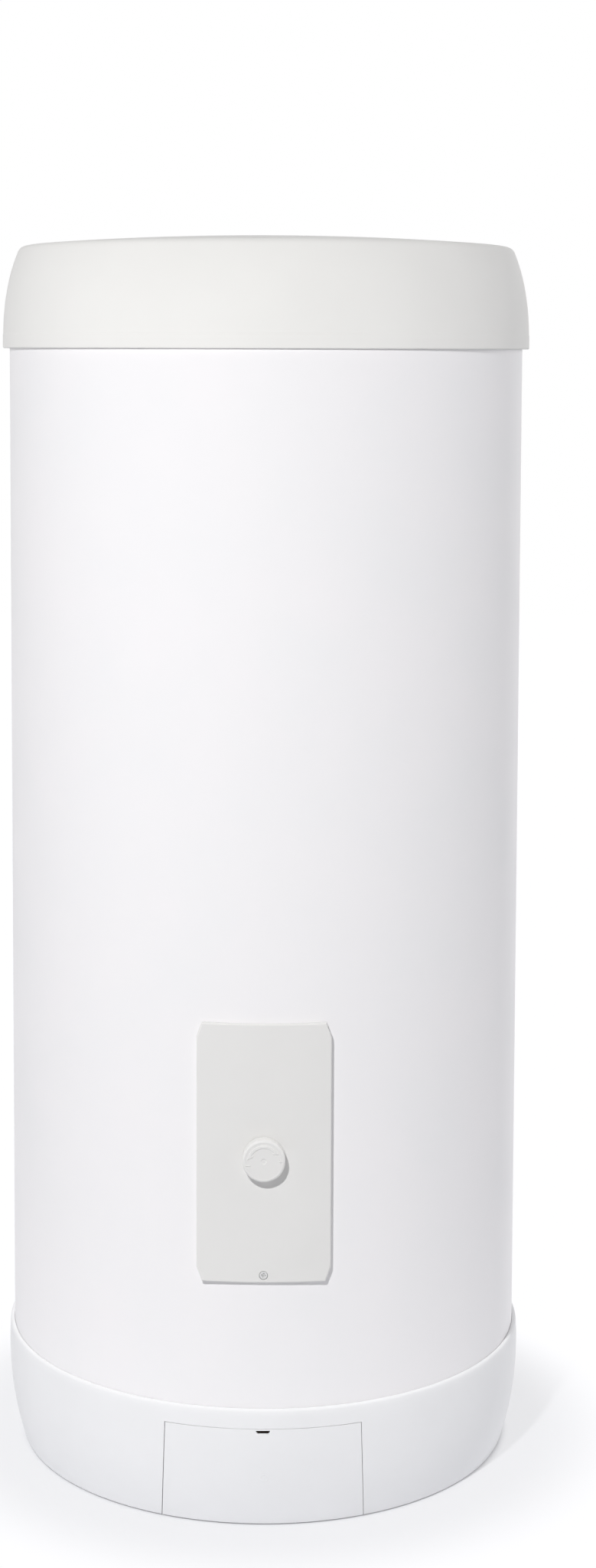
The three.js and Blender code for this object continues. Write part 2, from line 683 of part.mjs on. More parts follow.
function basePan() {
  const lowSheetZ = panTopZ - PAN_SHEET;
  const channelBore = panRadius - PAN_SHEET;
  const lipRadius = panRadius - PAN_LIP;
  const sheet = revolve([
    [0, panTopZ],
    [0, lowSheetZ],
    [channelBore, lowSheetZ],
    [channelBore, panLowZ + PAN_SHEET],
    [lipRadius, panLowZ + PAN_SHEET],
    [lipRadius, panLowZ],
    [panRadius, panLowZ],
    [panRadius, panTopZ],
  ]);
  const riserHoles = [coldX, hotX].map((x) =>
    rod([x, valveY, lowSheetZ - PAST], [x, valveY, panTopZ + PAST], PIPE_RADIUS + RISER_HOLE_GAP, PIPE_SIDES),
  );
  const glandHole = rod(
    [CONDUIT_ASIDE, conduitY, lowSheetZ - PAST],
    [CONDUIT_ASIDE, conduitY, panTopZ + PAST],
    GLAND_NECK + RUN,
  );
  const screwHoles = SHELF_SCREW_ANGLES.map((angle) => {
    const [x, y] = onCircle(shelfScrewCircle, angle);
    return rod([x, y, panLowZ - PAST], [x, y, panLowZ + PAN_SHEET + PAST], SHELF_SCREW_RADIUS + RUN, 12);
  });
  return cut(sheet, ...riserHoles, glandHole, ...screwHoles);
}

function supportLeg([x, y]) {
  const bore = STUD_RADIUS + RUN;
  const highZ = panTopZ - PAN_SHEET - FIT;
  const cup = revolve(
    [
      [bore, LEG_CLEAR],
      [LEG_RADIUS, LEG_CLEAR],
      [LEG_RADIUS, highZ],
      [LEG_RADIUS - LEG_SHEET, highZ],
      [LEG_RADIUS - LEG_SHEET, LEG_CLEAR + LEG_SHEET],
      [bore, LEG_CLEAR + LEG_SHEET],
    ],
    SMALL_SIDES,
  );
  return cup.translate([x, y, 0]);
}

function footPad([x, y]) {
  const bore = STUD_RADIUS + RUN;
  const pad = revolve(
    [
      [0, 0],
      [PAD_RADIUS, 0],
      [PAD_RADIUS, PAD_EDGE],
      [PAD_HUB_RADIUS, PAD_HEIGHT],
      [bore, PAD_HEIGHT],
      [bore, PAD_FLOOR],
      [0, PAD_FLOOR],
    ],
    SMALL_SIDES,
  );
  return pad.translate([x, y, 0]);
}

function footStud([x, y]) {
  const lowZ = PAD_FLOOR + FIT;
  const hexZ = PAD_HEIGHT + FIT;
  return join(
    rod([x, y, lowZ], [x, y, lowZ + STUD_LENGTH], STUD_RADIUS),
    hexBar([x, y, hexZ], [x, y, hexZ + STUD_HEX_THICK], STUD_HEX),
  );
}

function footLocknut([x, y]) {
  const highZ = LEG_CLEAR - FIT;
  const lowZ = highZ - LOCKNUT_THICK;
  return cut(
    hexBar([x, y, lowZ], [x, y, highZ], STUD_HEX),
    rod([x, y, lowZ - PAST], [x, y, highZ + PAST], STUD_RADIUS + RUN),
  );
}

function shelfScrew([x, y]) {
  const seat = shelfLowZ - FIT / 2;
  return join(
    rod([x, y, seat - SHELF_SCREW_HEAD_THICK], [x, y, seat], SHELF_SCREW_HEAD, 12),
    rod([x, y, seat - PAST / 2], [x, y, seat + SHELF_SCREW_LENGTH], SHELF_SCREW_RADIUS, 12),
  );
}

// ------------------------------------------------------------------ tank and insulation

/** Half an ellipse from the tank's weld to the axis, grown by a margin. */
function domeArc(weldZ, direction, margin) {
  const points = [];
  const steps = 4;
  for (let i = 0; i <= steps; i += 1) {
    const angle = (Math.PI / 2) * (i / steps);
    const r = i === steps ? 0 : (tankRadius + margin) * Math.cos(angle);
    points.push([r, weldZ + direction * (DOME_DEPTH + margin) * Math.sin(angle)]);
  }
  return points;
}

function tankShell() {
  return cut(
    ring(tankRadius - TANK_SHEET, tankRadius, tankLowZ, tankHighZ, TANK_SIDES),
    throughWall(elementZ, BOSS_RADIUS + FIT),
    throughWall(sensorZ, SENSOR_RADIUS + FIT),
  );
}

/** A bar along Y through the front of the tank's wall and of what lies before it. */
function throughWall(z, radius) {
  return rod([0, linerFloorY - PAST, z], [0, wallCutEndY, z], radius, PIPE_SIDES);
}

function tankDome(weldZ, direction) {
  const edge = weldZ + direction * FIT;
  const outside = domeArc(edge, direction, 0);
  const inside = domeArc(edge, direction, -TANK_SHEET).reverse();
  return revolve([...outside, ...inside], TANK_SIDES);
}

function riser(x, radius, highZ) {
  return rod([x, valveY, valveZ], [x, valveY, highZ], radius, PIPE_SIDES);
}

function tankBottomDome() {
  const holes = [coldX, hotX].map((x) => riser(x, PIPE_RADIUS + FIT, tankLowZ));
  return cut(tankDome(tankLowZ, -1), ...holes);
}

function bodyInsulation() {
  const outer = jacketBore * Math.cos(Math.PI / SIDES) - FIT;
  const lowZ = panTopZ + FIT;
  const cup = revolve(
    [
      [0, lowZ],
      [outer, lowZ],
      [outer, foamTopZ],
      [tankRadius + FOAM_GAP, foamTopZ],
      ...domeArc(tankLowZ - FIT, -1, FOAM_GAP),
    ],
    TANK_SIDES,
  );
  const flange = linerFlange(FIT + 0.2);
  const screwBoss = rod(
    [0, -outer - PAST, coverScrewZ],
    [0, -outer + SCREW_BOSS_DEPTH + FIT, coverScrewZ],
    SCREW_BOSS_RADIUS + FIT,
  );
  const conduit = rod(
    [CONDUIT_ASIDE, conduitY, lowZ - PAST],
    [CONDUIT_ASIDE, conduitY, pocketLowZ],
    CONDUIT_RADIUS + FIT,
  );
  return cut(
    cup,
    linerBox(LINER_WALL + FIT),
    flange,
    screwBoss,
    conduit,
    ...pegRods(PEG_RADIUS + RUN),
    ...[coldX, hotX].map((x) => riser(x, PIPE_RADIUS + FIT, tankLowZ)),
    throughWall(elementZ, BOSS_RADIUS + FIT),
    throughWall(sensorZ, SENSOR_RADIUS + FIT),
  );
}

function topInsulation() {
  const lowZ = foamTopZ + FIT;
  const outer = JACKET_RADIUS + SLEEVE_GAP - LID_RIB - TOP_FOAM_GAP;
  const skin = lidSkin(LID_SEAT, LID_WALL + TOP_FOAM_GAP, 1, 1).map(([r, z]) => [Math.min(r, outer), z]);
  const dome = domeArc(tankHighZ + FIT, 1, FOAM_GAP).slice(1);
  const mouth = [tankRadius + FOAM_GAP, lowZ];
  return revolve([mouth, [outer, lowZ], ...skin, ...dome.reverse()], TANK_SIDES);
}

// ------------------------------------------------------------------ electrical pocket

/** The pocket's box, grown by a margin, open at the front. */
function linerBox(margin) {
  const half = LINER_WIDTH / 2 + margin;
  return block(
    [-half, -JACKET_RADIUS - PAST, pocketLowZ - margin],
    [half, linerFloorY + margin, pocketHighZ + margin],
  );
}

/** The flange behind the jacket round the pocket, grown by a margin. */
function linerFlange(margin) {
  const half = COVER_WIDTH / 2 - FLANGE_MARGIN + margin;
  const sheet = ring(
    flangeRadius - LINER_FLANGE - margin,
    flangeRadius + margin,
    coverLowZ + FLANGE_MARGIN - margin,
    coverHighZ - FLANGE_MARGIN + margin,
  );
  const front = block(
    [-half, -JACKET_RADIUS - PAST, coverLowZ - PAST],
    [half, 0, coverHighZ + PAST],
  );
  return sheet.intersect(front);
}

function elementLiner() {
  const inJacket = rod([0, 0, coverLowZ], [0, 0, coverHighZ], flangeRadius, SIDES);
  const walls = linerBox(LINER_WALL).intersect(inJacket);
  const screwBoss = rod(
    [0, -flangeRadius + PAST, coverScrewZ],
    [0, screwBossEndY, coverScrewZ],
    SCREW_BOSS_RADIUS,
  );
  const conduitHole = rod(
    [CONDUIT_ASIDE, conduitY, pocketLowZ - LINER_WALL - PAST],
    [CONDUIT_ASIDE, conduitY, pocketLowZ + PAST],
    CONDUIT_BORE,
  );
  return cut(
    join(walls, linerFlange(0), screwBoss),
    linerBox(0),
    ...coverFixings(),
    throughWall(elementZ, BOSS_RADIUS + FIT),
    throughWall(sensorZ, SENSOR_RADIUS + FIT),
    conduitHole,
  );
}

function elementBoss() {
  const backY = -(tankRadius - TANK_SHEET - BOSS_INSIDE);
  return pipe([0, backY, elementZ], [0, bossFrontY, elementZ], BOSS_RADIUS, THREAD_RADIUS + FIT);
}

function elementGasket() {
  const backY = bossFrontY - FIT;
  return pipe([0, backY, elementZ], [0, gasketFrontY, elementZ], GASKET_RADIUS, THREAD_RADIUS + FIT);
}

/** One hairpin of the heater: out along Y, round, and back. */
function hairpin(x) {
  const startY = elementBackY + ELEMENT_PLUG - PAST;
  const bendY = startY + ELEMENT_LENGTH - HAIRPIN_HALF;
  const legs = [-1, 1].map((side) => {
    const z = elementZ + side * HAIRPIN_HALF;
    return rod([x, startY, z], [x, bendY + 0.2, z], SHEATH_RADIUS, 6);
  });
  const arc = new THREE.CatmullRomCurve3(
    [0, 1, 2, 3, 4, 5, 6].map((i) => {
      const angle = -Math.PI / 2 + (Math.PI * i) / 6;
      const y = bendY + HAIRPIN_HALF * Math.cos(angle);
      return new THREE.Vector3(x, y, elementZ + HAIRPIN_HALF * Math.sin(angle));
    }),
  );
  return join(...legs, sweep(arc, SHEATH_RADIUS, 4, 6));
}

function heatingElement() {
  const hex = hexBar([0, elementFrontY, elementZ], [0, elementBackY, elementZ], ELEMENT_HEX);
  const plug = rod(
    [0, elementBackY - PAST, elementZ],
    [0, elementBackY + ELEMENT_PLUG, elementZ],
    THREAD_RADIUS - RUN,
    PIPE_SIDES,
  );
  const terminals = [-1, 1].map((side) => {
    const x = side * TERMINAL_SPREAD;
    const tipY = elementFrontY - TERMINAL_LENGTH;
    return rod([x, elementFrontY + PAST, elementZ], [x, tipY, elementZ], TERMINAL_RADIUS, 12);
  });
  return join(hex, plug, ...terminals, ...SHEATH_ROWS.map(hairpin));
}

function thermostat() {
  const half = THERMOSTAT_WIDTH / 2;
  const body = block(
    [-half, thermostatFrontY, knobZ - THERMOSTAT_HEIGHT / 2],
    [half, seatY, knobZ + THERMOSTAT_HEIGHT / 2],
  );
  const bushY = thermostatFrontY - BUSH_LENGTH;
  const bush = rod([0, thermostatFrontY + PAST, knobZ], [0, bushY, knobZ], BUSH_RADIUS);
  const seatDepth = SPINDLE_SEAT + FIT;
  const bore = rod([0, bushY - PAST, knobZ], [0, thermostatFrontY + seatDepth, knobZ], SPINDLE_RADIUS + RUN);
  const [x, z] = [BUTTON_ASIDE, knobZ + BUTTON_ABOVE];
  const buttonDepth = BUTTON_LENGTH - BUTTON_PROUD + BUTTON_STROKE + FIT;
  const buttonBore = rod(
    [x, thermostatFrontY - PAST, z],
    [x, thermostatFrontY + buttonDepth, z],
    BUTTON_RADIUS + RUN,
  );
  return cut(join(body, bush), bore, buttonBore);
}

function resetButton() {
  const [x, z] = [BUTTON_ASIDE, knobZ + BUTTON_ABOVE];
  const frontY = thermostatFrontY - BUTTON_PROUD;
  return rod([x, frontY, z], [x, frontY + BUTTON_LENGTH, z], BUTTON_RADIUS);
}

function sensorPocket() {
  const flangeY = seatY - SENSOR_FLANGE_THICK;
  const endY = flangeY + SENSOR_LENGTH;
  return cut(
    join(
      rod([0, flangeY, sensorZ], [0, endY, sensorZ], SENSOR_RADIUS, PIPE_SIDES),
      rod([0, flangeY, sensorZ], [0, seatY, sensorZ], SENSOR_FLANGE, PIPE_SIDES),
    ),
    rod([0, flangeY - PAST, sensorZ], [0, endY - SENSOR_END, sensorZ], SENSOR_BORE, PIPE_SIDES),
  );
}

function capillarySensor() {
  const mouthY = seatY - SENSOR_FLANGE_THICK;
  const bulbY = mouthY + BULB_SETBACK;
  const bulb = rod([0, bulbY, sensorZ], [0, bulbY + BULB_LENGTH, sensorZ], BULB_RADIUS, 12);
  const topZ = knobZ + THERMOSTAT_HEIGHT / 2;
  const route = new THREE.CatmullRomCurve3([
    new THREE.Vector3(0, bulbY + 2, sensorZ),
    new THREE.Vector3(0, mouthY - 4, sensorZ),
    new THREE.Vector3(0, mouthY - 10, sensorZ - 4),
    new THREE.Vector3(0, mouthY - 8, topZ + 8),
    new THREE.Vector3(0, mouthY - 7, topZ + FIT),
  ]);
  return join(bulb, sweep(route, CAPILLARY_RADIUS, 14, 6));
}

function terminalBlock() {
  const half = BLOCK_WIDTH / 2;
  const frontY = seatY - BLOCK_DEPTH;
  const body = block(
    [-half, frontY, blockZ - BLOCK_HEIGHT / 2],
    [half, seatY, blockZ + BLOCK_HEIGHT / 2],
  );
  const pitch = BLOCK_WIDTH / BLOCK_POLES;
  const recesses = [];
  for (let pole = 0; pole < BLOCK_POLES; pole += 1) {
    const x = -half + pitch * (pole + 0.5);
    const backY = frontY + BLOCK_SCREW_DEPTH;
    recesses.push(rod([x, frontY - PAST, blockZ], [x, backY, blockZ], BLOCK_SCREW_RADIUS, 8));
  }
  return cut(body, ...recesses);
}

/** A mains wire from the terminal block down to the thermostat. */
function supplyWire(side) {
  const x = (side * BLOCK_WIDTH) / 4;
  const y = seatY - BLOCK_DEPTH / 2;
  const startZ = blockZ - BLOCK_HEIGHT / 2 - FIT;
  const endZ = knobZ + THERMOSTAT_HEIGHT / 2 + FIT;
  const middle = (startZ + endZ) / 2;
  const route = new THREE.CatmullRomCurve3([
    new THREE.Vector3(x, y, startZ),
    new THREE.Vector3(x, y, startZ - 5),
    new THREE.Vector3(x + side * 5, y - 3, middle + 4),
    new THREE.Vector3(x + side * 3, y - 4, middle - 6),
    new THREE.Vector3(x, y - 2, endZ + 5),
    new THREE.Vector3(x, y - 2, endZ),
  ]);
  return sweep(route, WIRE_RADIUS, 12, 6);
}

/** A wire from the thermostat down to one terminal of the heater. */
function heaterWire(side) {
  const x = side * TERMINAL_SPREAD;
  const startZ = knobZ - THERMOSTAT_HEIGHT / 2 - FIT;
  const startY = thermostatFrontY + THERMOSTAT_DEPTH / 2;
  const endY = elementFrontY - TERMINAL_LENGTH / 2;
  const endZ = elementZ + TERMINAL_RADIUS + FIT;
  const route = new THREE.CatmullRomCurve3([
    new THREE.Vector3(x, startY, startZ),
    new THREE.Vector3(x, startY, startZ - 3),
    new THREE.Vector3(x + side * 4, (startY + endY) / 2 - 3, (startZ + endZ) / 2),
    new THREE.Vector3(x, endY, endZ + 6),
    new THREE.Vector3(x, endY, endZ),
  ]);
  return sweep(route, WIRE_RADIUS, 10, 6);
}

function cableConduit() {
  const lowZ = panTopZ + FIT;
  const highZ = pocketLowZ - LINER_WALL - FIT;
  const at = [CONDUIT_ASIDE, conduitY];
  return pipe([...at, lowZ], [...at, highZ], CONDUIT_RADIUS, CONDUIT_BORE, SMALL_SIDES);
}

function cableGland() {
  const at = [CONDUIT_ASIDE, conduitY];
  const seat = panTopZ - PAN_SHEET - FIT;
  const lowZ = seat - GLAND_HEX_THICK;
  const body = join(
    hexBar([...at, lowZ], [...at, seat], GLAND_HEX),
    rod([...at, seat - PAST], [...at, panTopZ + GLAND_NECK], GLAND_NECK),
    rod([...at, lowZ - GLAND_TAIL], [...at, lowZ + PAST], GLAND_TAIL_RADIUS),
  );
  const boreFrom = [...at, lowZ - GLAND_TAIL - PAST];
  const boreTo = [...at, panTopZ + GLAND_NECK + PAST];
  return body.subtract(rod(boreFrom, boreTo, GLAND_BORE));
}

// ------------------------------------------------------------------ valves and pipes

/** A port of a valve, from its axis out along a unit direction, and its bore. */
function port(centre, direction, radius, pipeRadius) {
  const at = (distance) => centre.map((value, axis) => value + direction[axis] * distance);
  return {
    neck: rod(centre, at(PORT_REACH), radius, PIPE_SIDES),
    bore: rod(at(portSeat), at(PORT_REACH + PAST), pipeRadius + RUN, PIPE_SIDES),
  };
}

/** A brass valve body with a vertical barrel, a bonnet to the front and some ports. */
function valveBody(x, ports) {
  const centre = [x, valveY, valveZ];
  const low = [x, valveY, valveZ - VALVE_BODY_HALF];
  const high = [x, valveY, valveZ + VALVE_BODY_HALF];
  const bonnetY = valveY - BONNET_REACH;
  const made = ports.map(([direction, radius, pipeRadius]) =>
    port(centre, direction, radius, pipeRadius),
  );
  const body = join(
    rod(low, high, VALVE_BODY_RADIUS, PIPE_SIDES),
    rod(centre, [x, bonnetY, valveZ], BONNET_RADIUS, PIPE_SIDES),
    ...made.map(({ neck }) => neck),
  );
  const spindleEnd = bonnetY + VALVE_SPINDLE_LENGTH + FIT;
  const spindleBore = rod([x, bonnetY - PAST, valveZ], [x, spindleEnd, valveZ], VALVE_SPINDLE_RADIUS + RUN);
  return cut(body, spindleBore, ...made.map(({ bore }) => bore));
}

const UP = [0, 0, 1];
const REAR = [0, 1, 0];
const LEFT = [-1, 0, 0];
const RIGHT = [1, 0, 0];

function safetyValve() {
  return valveBody(coldX, [
    [UP, PORT_RADIUS, PIPE_RADIUS],
    [REAR, PORT_RADIUS, PIPE_RADIUS],
    [RIGHT, PORT_RADIUS, PIPE_RADIUS],
    [LEFT, RELIEF_PORT_RADIUS, OVERFLOW_RADIUS],
  ]);
}

function mixingValve() {
  return valveBody(hotX, [
    [UP, PORT_RADIUS, PIPE_RADIUS],
    [REAR, PORT_RADIUS, PIPE_RADIUS],
    [LEFT, PORT_RADIUS, PIPE_RADIUS],
  ]);
}

/** A valve's hand knob with its spindle, in front of the bonnet. */
function valveKnob(x, radius, length, lobes) {
  const backY = valveY - BONNET_REACH - FIT;
  const frontY = backY - length;
  const grip = rod([x, backY, valveZ], [x, frontY, valveZ], radius, GRIP_SIDES);
  const stem = rod(
    [x, backY - VALVE_KNOB_BACK - PAST, valveZ],
    [x, valveY - BONNET_REACH + VALVE_SPINDLE_LENGTH, valveZ],
    VALVE_SPINDLE_RADIUS,
  );
  const recess = rod(
    [x, backY + PAST, valveZ],
    [x, backY - VALVE_KNOB_BACK, valveZ],
    radius - VALVE_KNOB_BACK,
    GRIP_SIDES,
  );
  const grooves = [];
  for (let lobe = 0; lobe < lobes; lobe += 1) {
    const [dx, dz] = onCircle(radius + GRIP_GROOVE_OUT, (360 * lobe) / lobes);
    const [grooveX, grooveZ] = [x + dx, valveZ + dz];
    const from = [grooveX, frontY - PAST, grooveZ];
    const to = [grooveX, backY - GRIP_COLLAR, grooveZ];
    grooves.push(rod(from, to, GRIP_GROOVE_RADIUS, 8));
  }
  return join(cut(grip, recess, ...grooves), stem);
}

/** A compression nut over a valve's port, along a unit direction. */
function portNut(x, direction) {
  const at = (distance) =>
    [x, valveY, valveZ].map((value, axis) => value + direction[axis] * distance);
  return cut(
    hexBar(at(PORT_REACH - NUT_OVER_PORT), at(PORT_REACH + NUT_OVER_PIPE), NUT_HEX),
    rod(at(PORT_REACH - NUT_OVER_PORT - PAST), at(PORT_REACH + FIT), PORT_RADIUS + RUN, PIPE_SIDES),
    rod(at(PORT_REACH), at(PORT_REACH + NUT_OVER_PIPE + PAST), PIPE_RADIUS + RUN, PIPE_SIDES),
  );
}

function straightPipe(from, to, radius) {
  return pipe(from, to, radius, radius - PIPE_WALL);
}

function coldInletPipe() {
  const highZ = tankLowZ + COLD_PIPE_RISE;
  const [x, y] = [coldX, valveY];
  const tube = straightPipe([x, y, valveZ + portSeat + FIT], [x, y, highZ], PIPE_RADIUS);
  const half = DIFFUSER_WINDOW_WIDTH / 2;
  const over = PIPE_RADIUS + PAST;
  const sillZ = highZ - DIFFUSER_WINDOW;
  const windows = [
    block([x - over, y - half, sillZ], [x + over, y + half, highZ]),
    block([x - half, y - over, sillZ], [x + half, y + over, highZ]),
  ];
  const plate = rod([x, y, highZ - PAST / 2], [x, y, highZ + DIFFUSER_THICK], DIFFUSER_RADIUS, PIPE_SIDES);
  return join(cut(tube, ...windows), plate);
}

function hotOutletPipe() {
  const lowZ = valveZ + portSeat + FIT;
  return straightPipe([hotX, valveY, lowZ], [hotX, valveY, tankHighZ + HOT_PIPE_RISE], PIPE_RADIUS);
}

function rearPipe(x) {
  const startY = valveY + portSeat + FIT;
  return straightPipe([x, startY, valveZ], [x, pipeEndY, valveZ], PIPE_RADIUS);
}

function linkPipe() {
  const reach = portSeat + FIT;
  return straightPipe([coldX + reach, valveY, valveZ], [hotX - reach, valveY, valveZ], PIPE_RADIUS);
}

/** The overflow's route as a bar: sideways out of the valve, round, and to the back. */
function overflowBar(radius, extra) {
  const startX = coldX - portSeat - FIT;
  const turnX = overflowX + OVERFLOW_BEND;
  const turnY = valveY + OVERFLOW_BEND;
  const arc = new THREE.CatmullRomCurve3(
    [0, 1, 2, 3, 4].map((i) => {
      const angle = -Math.PI / 2 - (Math.PI / 2) * (i / 4);
      const x = turnX + OVERFLOW_BEND * Math.cos(angle);
      return new THREE.Vector3(x, turnY + OVERFLOW_BEND * Math.sin(angle), valveZ);
    }),
  );
  return join(
    rod([startX + extra, valveY, valveZ], [turnX - PAST / 2, valveY, valveZ], radius),
    sweep(arc, radius, 5, SMALL_SIDES),
    rod([overflowX, turnY - PAST / 2, valveZ], [overflowX, pipeEndY + extra, valveZ], radius),
  );
}

function overflowPipe() {
  return cut(overflowBar(OVERFLOW_RADIUS, 0), overflowBar(OVERFLOW_RADIUS - PIPE_WALL, 1));
}

// ------------------------------------------------------------------ finishes

const FINISHES = {
  lacquer: { color: 0xebebed, roughness: 0.38, metalness: 0 },
  moulding: { color: 0xe6e5e2, roughness: 0.5, metalness: 0 },
  foam: { color: 0xe2d9a8, roughness: 0.9, metalness: 0 },
  stainless: { color: 0xb9bcc0, roughness: 0.35, metalness: 1 },
  galvanised: { color: 0xa9adb0, roughness: 0.5, metalness: 1 },
  brass: { color: 0xc8a860, roughness: 0.35, metalness: 1 },
  copper: { color: 0xc07a55, roughness: 0.35, metalness: 1 },
  chrome: { color: 0xdadde0, roughness: 0.15, metalness: 1 },
  black: { color: 0x1d1d1f, roughness: 0.55, metalness: 0 },
  grey: { color: 0x6f7276, roughness: 0.55, metalness: 0 },
  red: { color: 0xb3261e, roughness: 0.45, metalness: 0 },
  blue: { color: 0x2a5caa, roughness: 0.45, metalness: 0 },
  rubber: { color: 0x202224, roughness: 0.8, metalness: 0 },
};

/** A solid as a named three.js mesh with a material of its own. */
function piece(name, solid, finish) {
  const { vertProperties, triVerts } = solid.getMesh();
  const geometry = new THREE.BufferGeometry();
  geometry.setAttribute("position", new THREE.BufferAttribute(vertProperties, 3));
  geometry.setIndex(new THREE.BufferAttribute(triVerts, 1));
  geometry.computeVertexNormals();
  const mesh = new THREE.Mesh(geometry, new THREE.MeshStandardMaterial(FINISHES[finish]));
  mesh.name = name;
  return mesh;
}

// ------------------------------------------------------------------ assembly

const heater = new THREE.Group();

function group(...pieces) {
  heater.add(new THREE.Group().add(...pieces));
}

group(
  piece("top_cover", topCover(), "moulding"),
  piece("outer_jacket", outerJacket(), "lacquer"),
  piece("base_skirt", baseSkirt(), "moulding"),
  piece("base_hatch", baseHatch(), "moulding"),
  piece("service_cover", serviceCover(), "moulding"),
  piece("thermostat_knob", thermostatKnob(), "moulding"),
  piece("cover_screw", coverScrew(), "chrome"),
);

group(
  piece("base_pan", basePan(), "galvanised"),
  ...LEG_ANGLES.flatMap((angle, i) => {
    const place = onCircle(legCircle, angle);
    const number = i + 1;
    return [
      piece(`support_leg_${number}`, supportLeg(place), "galvanised"),
      piece(`foot_pad_${number}`, footPad(place), "black"),
      piece(`foot_stud_${number}`, footStud(place), "galvanised"),
      piece(`foot_locknut_${number}`, footLocknut(place), "galvanised"),
    ];
  }),
  ...SHELF_SCREW_ANGLES.map((angle, i) =>
    piece(`skirt_screw_${i + 1}`, shelfScrew(onCircle(shelfScrewCircle, angle)), "galvanised"),
  ),
);

group(
  piece("tank_shell", tankShell(), "stainless"),
  piece("tank_top_dome", tankDome(tankHighZ, 1), "stainless"),
  piece("tank_bottom_dome", tankBottomDome(), "stainless"),
  piece("body_insulation", bodyInsulation(), "foam"),
  piece("top_insulation", topInsulation(), "foam"),
);

group(
  piece("element_liner", elementLiner(), "moulding"),
  piece("element_boss", elementBoss(), "stainless"),
  piece("element_gasket", elementGasket(), "rubber"),
  piece("heating_element", heatingElement(), "brass"),
  piece("sensor_pocket", sensorPocket(), "stainless"),
  piece("capillary_sensor", capillarySensor(), "copper"),
  piece("thermostat", thermostat(), "black"),
  piece("thermostat_spindle", thermostatSpindle(), "galvanised"),
  piece("reset_button", resetButton(), "red"),
  piece("terminal_block", terminalBlock(), "grey"),
  piece("wire_live", supplyWire(-1), "red"),
  piece("wire_neutral", supplyWire(1), "blue"),
  piece("wire_heater_left", heaterWire(-1), "red"),
  piece("wire_heater_right", heaterWire(1), "blue"),
  piece("cable_conduit", cableConduit(), "grey"),
  piece("cable_gland", cableGland(), "black"),
);

group(
  piece("safety_valve", safetyValve(), "brass"),
  piece("safety_valve_knob", valveKnob(coldX, RELIEF_KNOB_RADIUS, RELIEF_KNOB_LENGTH, 6), "black"),
  piece("mixing_valve", mixingValve(), "brass"),
  piece("mixing_valve_knob", valveKnob(hotX, MIXER_KNOB_RADIUS, MIXER_KNOB_LENGTH, 12), "red"),
  piece("cold_inlet_pipe", coldInletPipe(), "stainless"),
  piece("hot_outlet_pipe", hotOutletPipe(), "stainless"),
  piece("link_pipe", linkPipe(), "copper"),
  piece("cold_supply_pipe", rearPipe(coldX), "copper"),
  piece("mixed_water_pipe", rearPipe(hotX), "copper"),
  piece("overflow_pipe", overflowPipe(), "copper"),
  piece("nut_cold_riser", portNut(coldX, UP), "brass"),
  piece("nut_hot_riser", portNut(hotX, UP), "brass"),
  piece("nut_link_cold", portNut(coldX, RIGHT), "brass"),
  piece("nut_link_hot", portNut(hotX, LEFT), "brass"),
  piece("nut_cold_supply", portNut(coldX, REAR), "brass"),
  piece("nut_mixed_water", portNut(hotX, REAR), "brass"),
);

export default heater;
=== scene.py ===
"""Looks of a floor-standing tank water heater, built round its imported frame.

Lengths are written in millimetres and turned to metres where a mesh is made.
"""

import math

import bmesh
import bpy
import numpy as np
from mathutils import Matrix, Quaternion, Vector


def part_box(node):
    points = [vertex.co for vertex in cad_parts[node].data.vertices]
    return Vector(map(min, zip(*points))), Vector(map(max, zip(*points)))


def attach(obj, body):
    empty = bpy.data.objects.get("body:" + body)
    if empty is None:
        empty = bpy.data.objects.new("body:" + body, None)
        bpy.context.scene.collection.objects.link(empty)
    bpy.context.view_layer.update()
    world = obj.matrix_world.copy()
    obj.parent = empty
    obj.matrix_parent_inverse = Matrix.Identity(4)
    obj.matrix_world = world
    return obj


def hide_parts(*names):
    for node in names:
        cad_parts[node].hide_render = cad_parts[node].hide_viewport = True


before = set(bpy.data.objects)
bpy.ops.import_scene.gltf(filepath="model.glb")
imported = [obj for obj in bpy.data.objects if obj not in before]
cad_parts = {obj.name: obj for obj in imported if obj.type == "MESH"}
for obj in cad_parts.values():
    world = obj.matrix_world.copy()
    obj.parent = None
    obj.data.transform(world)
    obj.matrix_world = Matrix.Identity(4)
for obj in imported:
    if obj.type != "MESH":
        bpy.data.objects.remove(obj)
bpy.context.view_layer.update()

MM = 0.001
TAU = 2 * math.pi

# ------------------------------------------------------------------ camera

# The lens in millimetres for a sensor 36 mm high, and the shifts as shares of that
# height. The angles are in degrees.
CAMERA_AT = (0.0, -2.826, 1.2145)
CAMERA_PITCH = 4.842
CAMERA_ROLL = 0.16
SENSOR = 36.0
LENS = 58.507031
LENS_SHIFT = (0.02077637, -0.1378418)


def make_camera():
    """A pinhole camera, pitched down from the level and rolled a little."""
    data = bpy.data.cameras.new("camera")
    data.sensor_width = SENSOR
    data.lens = LENS
    data.shift_x, data.shift_y = LENS_SHIFT
    camera = bpy.data.objects.new("camera", data)
    bpy.context.scene.collection.objects.link(camera)
    camera.location = CAMERA_AT
    camera.rotation_mode = "QUATERNION"
    tilt = Quaternion((1, 0, 0), math.radians(90 - CAMERA_PITCH))
    roll = Quaternion((0, 0, 1), math.radians(CAMERA_ROLL))
    camera.rotation_quaternion = tilt @ roll
    bpy.context.scene.camera = camera


make_camera()

# ------------------------------------------------------------------ materials


def linear(colour):
    """An sRGB hex colour as linear RGBA."""
    channels = np.array([int(colour[i : i + 2], 16) for i in (1, 3, 5)]) / 255
    curve = ((channels + 0.055) / 1.055) ** 2.4
    return (*np.where(channels <= 0.04045, channels / 12.92, curve).tolist(), 1.0)


